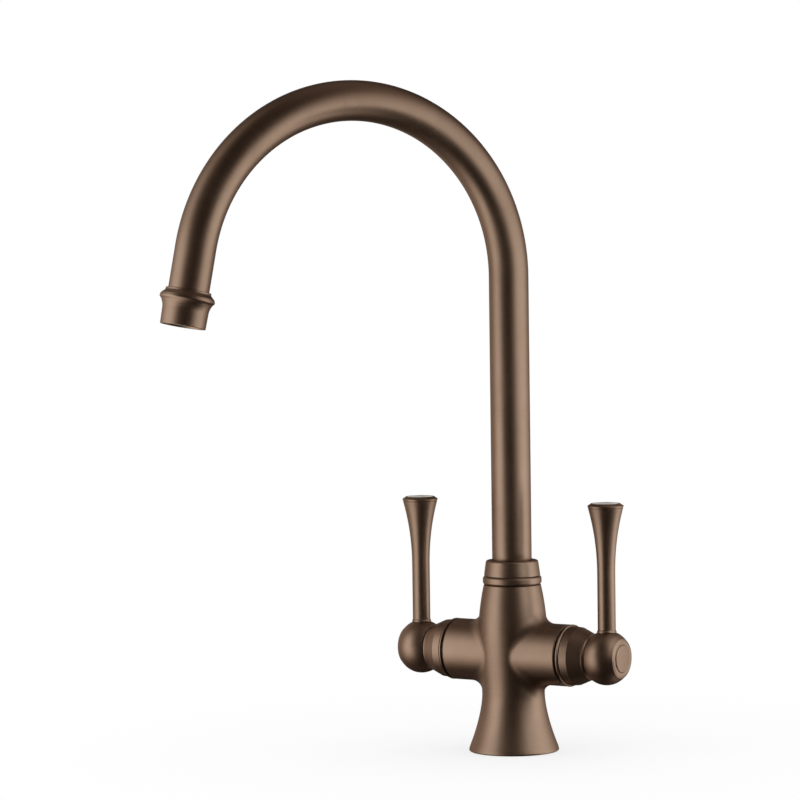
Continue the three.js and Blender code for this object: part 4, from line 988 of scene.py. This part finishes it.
# %% The disc's plain letter
def letter(character, height=3.6, lift=0.05):
    """A plain letter as a thin mesh that lies flat: the built-in font, made a mesh,
    centred, then scaled and moved by its vertices."""
    text = bpy.data.curves.new("letter", "FONT")
    text.body, text.extrude, text.offset = character, 0.02, -0.01
    carrier = bpy.data.objects.new("letter", text)
    scene.collection.objects.link(carrier)
    graph = bpy.context.evaluated_depsgraph_get()
    mesh = bpy.data.meshes.new_from_object(carrier.evaluated_get(graph))
    bpy.data.objects.remove(carrier)
    place = np.zeros(len(mesh.vertices) * 3)
    mesh.vertices.foreach_get("co", place)
    place = place.reshape(-1, 3)
    low, high = place.min(0), place.max(0)
    scale = height / (high[1] - low[1])
    place = (place - (low + high) / 2) * [scale, scale, 1]
    place[:, 2] = np.where(place[:, 2] > 0, lift, -lift)
    return mesh, place


# %% Place both sides
def make_side(name, turn, character):
    """All the trim of one side. The cold set points to +X, and the hot set is the same
    set turned half round."""
    body = f"{name}_handle"
    lying = lambda profile, closed=True: placed(
        carried(profile, sides=SIDES, closed=closed), (0, 0, AXIS_HEIGHT), turn, True)
    standing = lambda profile: placed(
        carried(profile, sides=96, closed=False), (HUB["centre"], 0, 0), turn)
    finish_piece(f"{name}_trim_ring", mesh_of("ring", lying(ring_profile())), "body",
                 "bronze", bronze, f"{name}_shroud_ring")
    finish_piece(f"{name}_tapered_shroud", mesh_of("shroud", lying(shroud_profile())),
                 "body", "bronze", bronze, f"{name}_shroud")
    side = math.cos(turn)
    upward = lambda hole, sides: drilling(
        hole["radius"], (HUB["centre"] * side, 0, hole["low"]),
        (HUB["centre"] * side, 0, hole["high"]), sides)
    spot, tail = upward(FOOT_SPOT, 64), upward(TAIL_HOLE, 48)
    ball = carved(mesh_of("ball", lying(hub_profile())), spot, tail)
    finish_piece(f"{name}_ball_hub", ball, body, "bronze", bronze, f"{name}_hub")
    finish_piece(f"{name}_round_cap", mesh_of("cap", lying(cap_profile(), False)), body,
                 "bronze", bronze, f"{name}_hub_cap")
    finish_piece(f"{name}_trumpet_lever", mesh_of("lever", standing(lever_profile())), body,
                 "bronze", bronze, f"{name}_lever")
    finish_piece(f"{name}_white_disc", mesh_of("disc", standing(index_profile())), body,
                 "index", enamel, f"{name}_index_disc")
    mesh, place = letter(character)
    place += [HUB["centre"] * side, 1.5, LEVER["top"] + 0.02]
    mesh.vertices.foreach_set("co", (place * MM).ravel())
    mesh.update()
    finish_piece(f"{name}_letter", mesh, body, "index", marking)


make_side("cold", 0.0, "C")
make_side("hot", math.pi, "H")

# %% [markdown]
# ## Finishes for the working parts
#
# Seals, discs, spindles and screws stay as they came from the CAD program, because they
# are hidden inside. They still get their real finishes, so that the faucet looks right
# when it is taken apart.

# %% Finishes by name
# The last word that a name holds gives its finish.
WORKING = (("spindle", brass), ("o_ring", rubber), ("washer", rubber), ("glide_washer", nylon),
           ("disc", ceramic), ("valve_body", brass), ("spigot", brass), ("screw", steel),
           ("clip", steel), ("keeper", steel), ("screen", steel))
for title, solid in nodes.items():
    if solid.hide_render:
        continue
    finish = [finish for word, finish in WORKING if word in title][-1]
    solid.data.materials.clear()
    solid.data.materials.append(finish)
    print(title, finish.name)

# %% [markdown]
# ## Floor, background and light
#
# The floor is a pale disc that fades to white, so that no horizon shows and the faucet's
# own shadow stays. Two soft lamps at the sides and an even level of light from the world
# light the floor and whatever isn't metal. The world is white to the camera.

# %% World
FILL = 0.85
world = bpy.data.worlds.new("studio")
scene.world = world
world.use_nodes = True
sky = world.node_tree
sky.nodes.clear()
rays = node(sky, "ShaderNodeLightPath").outputs
seen = calculate(sky, "MAXIMUM", rays["Is Camera Ray"], rays["Is Glossy Ray"])
seen = calculate(sky, "MAXIMUM", seen, rays["Is Transmission Ray"])
fill = node(sky, "ShaderNodeBackground", Color=(1, 1, 1, 1), Strength=FILL)
white = node(sky, "ShaderNodeBackground", Color=(1, 1, 1, 1), Strength=1.0)
choice = node(sky, "ShaderNodeMixShader", i0=seen, i1=fill.outputs[0], i2=white.outputs[0])
node(sky, "ShaderNodeOutputWorld", Surface=choice.outputs[0])

# %% Floor
FLOOR_SPAN, FLOOR_DROP = 6.0, 0.2
FADE_START, FADE_END, NEAR_WHITE = 0.05, 0.3, 0.72


def make_floor():
    """A pale disc whose outer part fades to the background's white, so that no horizon
    shows. The fade is a share of the distance from the middle."""
    flat = carried([(0, -FLOOR_DROP), (FLOOR_SPAN / MM, -FLOOR_DROP)], sides=64,
                   closed=False, flat=True)
    floor = bpy.data.objects.new("floor", mesh_of("floor", flat))
    scene.collection.objects.link(floor)
    paint = bpy.data.materials.new("pale_floor")
    paint.use_nodes = True
    tree = paint.node_tree
    shader = tree.nodes["Principled BSDF"]
    shader.inputs["Base Color"].default_value = (0.93, 0.93, 0.93, 1)
    shader.inputs["Roughness"].default_value = 0.9
    shader.inputs["Specular IOR Level"].default_value = 0.0
    place = node(tree, "ShaderNodeTexCoord").outputs["Object"]
    away = node(tree, "ShaderNodeVectorMath", {"operation": "LENGTH"}, i0=place).outputs[1]
    fade = remap(tree, away, FADE_START, FADE_END, NEAR_WHITE, 1.0)
    glow = node(tree, "ShaderNodeEmission", Color=(1, 1, 1, 1), Strength=1.0)
    mixed = node(tree, "ShaderNodeMixShader", i0=fade, i1=shader.outputs[0],
                 i2=glow.outputs[0])
    tree.links.new(mixed.outputs[0], tree.nodes["Material Output"].inputs["Surface"])
    floor.data.materials.append(paint)
    floor.visible_glossy = False


make_floor()


# %% Lamps
def round_camera(azimuth, distance, height):
    """A place in the room: an angle from the camera's own, a distance and a height."""
    angle = CAMERA_AZIMUTH + math.radians(azimuth)
    return Vector((math.sin(angle) * distance, -math.cos(angle) * distance, height))


def soft_lamp(name, azimuth, width, tall, distance, height, radiance):
    """A flat lamp that faces the faucet. Its power is radiance times pi times area."""
    lamp = bpy.data.lights.new(name, "AREA")
    lamp.shape, lamp.size, lamp.size_y = "RECTANGLE", width, tall
    lamp.energy = radiance * math.pi * width * tall
    lamp.color = LAMP_COLOUR
    holder = bpy.data.objects.new(name, lamp)
    scene.collection.objects.link(holder)
    place = round_camera(azimuth, distance, height)
    aim = Vector((0, 0, height)) - place
    holder.matrix_world = Matrix.Translation(place) @ aim.to_track_quat(
        "-Z", "Y").to_matrix().to_4x4()
    holder.visible_glossy = False


LAMP = 1.1
LAMP_TALL, LAMP_DISTANCE, LAMP_HEIGHT = 1.35, 1.7, 0.68
LAMP_COLOUR = (0.97, 1.0, 1.04)
for name, azimuth, width in (("lamp_left", -72, 1.9), ("lamp_right", 78, 2.5)):
    soft_lamp(name, azimuth, width, LAMP_TALL, LAMP_DISTANCE, LAMP_HEIGHT, LAMP)

# %% [markdown]
# ## What the metal mirrors
#
# A satin metal's look is mostly what it mirrors. Flat lamps leave hard edges and seams in
# it, so the metal is given a smooth dome instead: two tall soft boxes with long
# fading edges, dim in front, behind and overhead. It is a sphere round the faucet that only
# reflections see, and its brightness is worked out for each vertex from its direction.

# %% The dome of soft boxes
DOME_RADIUS, DOME_HEIGHT = 0.5, 0.1
DOME_WARM = (1.0, 0.8, 0.7)
DOME_PLAIN = (0.98, 1.0, 1.02)


def ramp(value, low, high):
    """Nought below low, one above high and a smooth S between: 3t squared less 2t cubed."""
    t = np.clip((value - low) / (high - low), 0, 1)
    return t * t * (3 - 2 * t)


def dome_glow(azimuth, elevation):
    """Brightness by direction, in degrees, with azimuth from the camera to the right. The
    two boxes, left and right, are products of ramps that fade out above and below. Boost
    lights the part of the right box that the levers' mirror image takes from the column.
    Calm is the dim rest of the dome, and rear is its paler band behind the faucet. The numbers
    were chosen by comparison with the photo, and stand for no real lamp."""
    near_left = 38 - 8 * ramp(-elevation, -2, 10) + 12 * ramp(elevation, 20, 44)
    near_right = 16 + 46 * ramp(-elevation, -8, 16)
    left = ramp(azimuth, -119, -70) * ramp(-azimuth, near_left, near_left + 22)
    left = left * ramp(elevation, -60, -12) * (1 - ramp(elevation, 26, 80))
    far_right = 148 - 12 * ramp(elevation, 6, 14)
    right = ramp(azimuth, near_right, near_right + 32) * ramp(-azimuth, -far_right, -92)
    right = right * ramp(elevation, -76, -30) * (1 - ramp(elevation, 32, 88))
    boost = ramp(azimuth, 50, 62) * ramp(-azimuth, -104, -84) * ramp(elevation, -16, -8)
    left_strength = 1.68 - 0.55 * ramp(elevation, 22, 40)
    right_strength = 1.52 - 0.3 * ramp(elevation, 14, 30) - 0.2 * ramp(-elevation, 14, 30)
    right_strength = right_strength + 0.5 * boost * ramp(-elevation, -8, 2)
    calm = 0.03 + 0.015 * ramp(elevation, -10, 10) + 0.14 * ramp(elevation, 66, 82)
    rear = ramp(abs(azimuth), 80, 130) * (1 - 0.8 * ramp(abs(azimuth), 142, 172))
    rear = (1.3 * rear) * (1 - 0.85 * ramp(elevation, 14, 60))
    rear = rear * (1 - 0.85 * ramp(-elevation, 8, 40))
    calm = calm + (0.2 + 0.12 * ramp(-azimuth, 60, 120)) * rear
    boxes = left + right
    return calm * (1 - boxes) + left_strength * left + right_strength * right, boxes


def make_dome(rows=72, columns=180):
    """A sphere of vertices by elevation and azimuth, with its glow as a colour."""
    elevation = np.linspace(-90, 90, rows + 1)[:, None]
    azimuth = (360 * np.arange(columns) / columns)[None, :]
    rise, around = np.radians(elevation), np.radians(azimuth) + CAMERA_AZIMUTH
    points = DOME_RADIUS * np.stack([
        np.cos(rise) * np.sin(around), -np.cos(rise) * np.cos(around),
        np.sin(rise) + 0 * around], 2) + [0, 0, DOME_HEIGHT]
    glow, boxes = dome_glow((azimuth + 180) % 360 - 180 + 0 * elevation, elevation + 0 * azimuth)
    hue = np.array(DOME_WARM) + (np.array(DOME_PLAIN) - DOME_WARM) * boxes[..., None]
    numbers = np.arange(glow.size).reshape(glow.shape)
    mesh = bpy.data.meshes.new("dome")
    mesh.from_pydata(points.reshape(-1, 3), [], stitched(numbers, False))
    colour = np.concatenate([glow[..., None] * hue, np.ones_like(glow)[..., None]], 2)
    layer = mesh.attributes.new("glow", "FLOAT_COLOR", "POINT")
    layer.data.foreach_set("color", colour.astype(np.float32).ravel())
    dome = bpy.data.objects.new("dome", mesh)
    scene.collection.objects.link(dome)
    paint = bpy.data.materials.new("dome")
    paint.use_nodes = True
    tree = paint.node_tree
    tree.nodes.clear()
    painted = node(tree, "ShaderNodeAttribute", {"attribute_name": "glow"}).outputs["Color"]
    light = node(tree, "ShaderNodeEmission", Color=painted)
    node(tree, "ShaderNodeOutputMaterial", Surface=light.outputs[0])
    mesh.materials.append(paint)
    dome.visible_camera = dome.visible_diffuse = dome.visible_shadow = False
    dome.visible_transmission = dome.visible_volume_scatter = False
    print("dome brightness", glow.min().round(2), "to", glow.max().round(2))


make_dome()

# %% [markdown]
# ## Colours
#
# Colours are shown as they are computed.

# %% Plain colours
scene.view_settings.view_transform = "Standard"
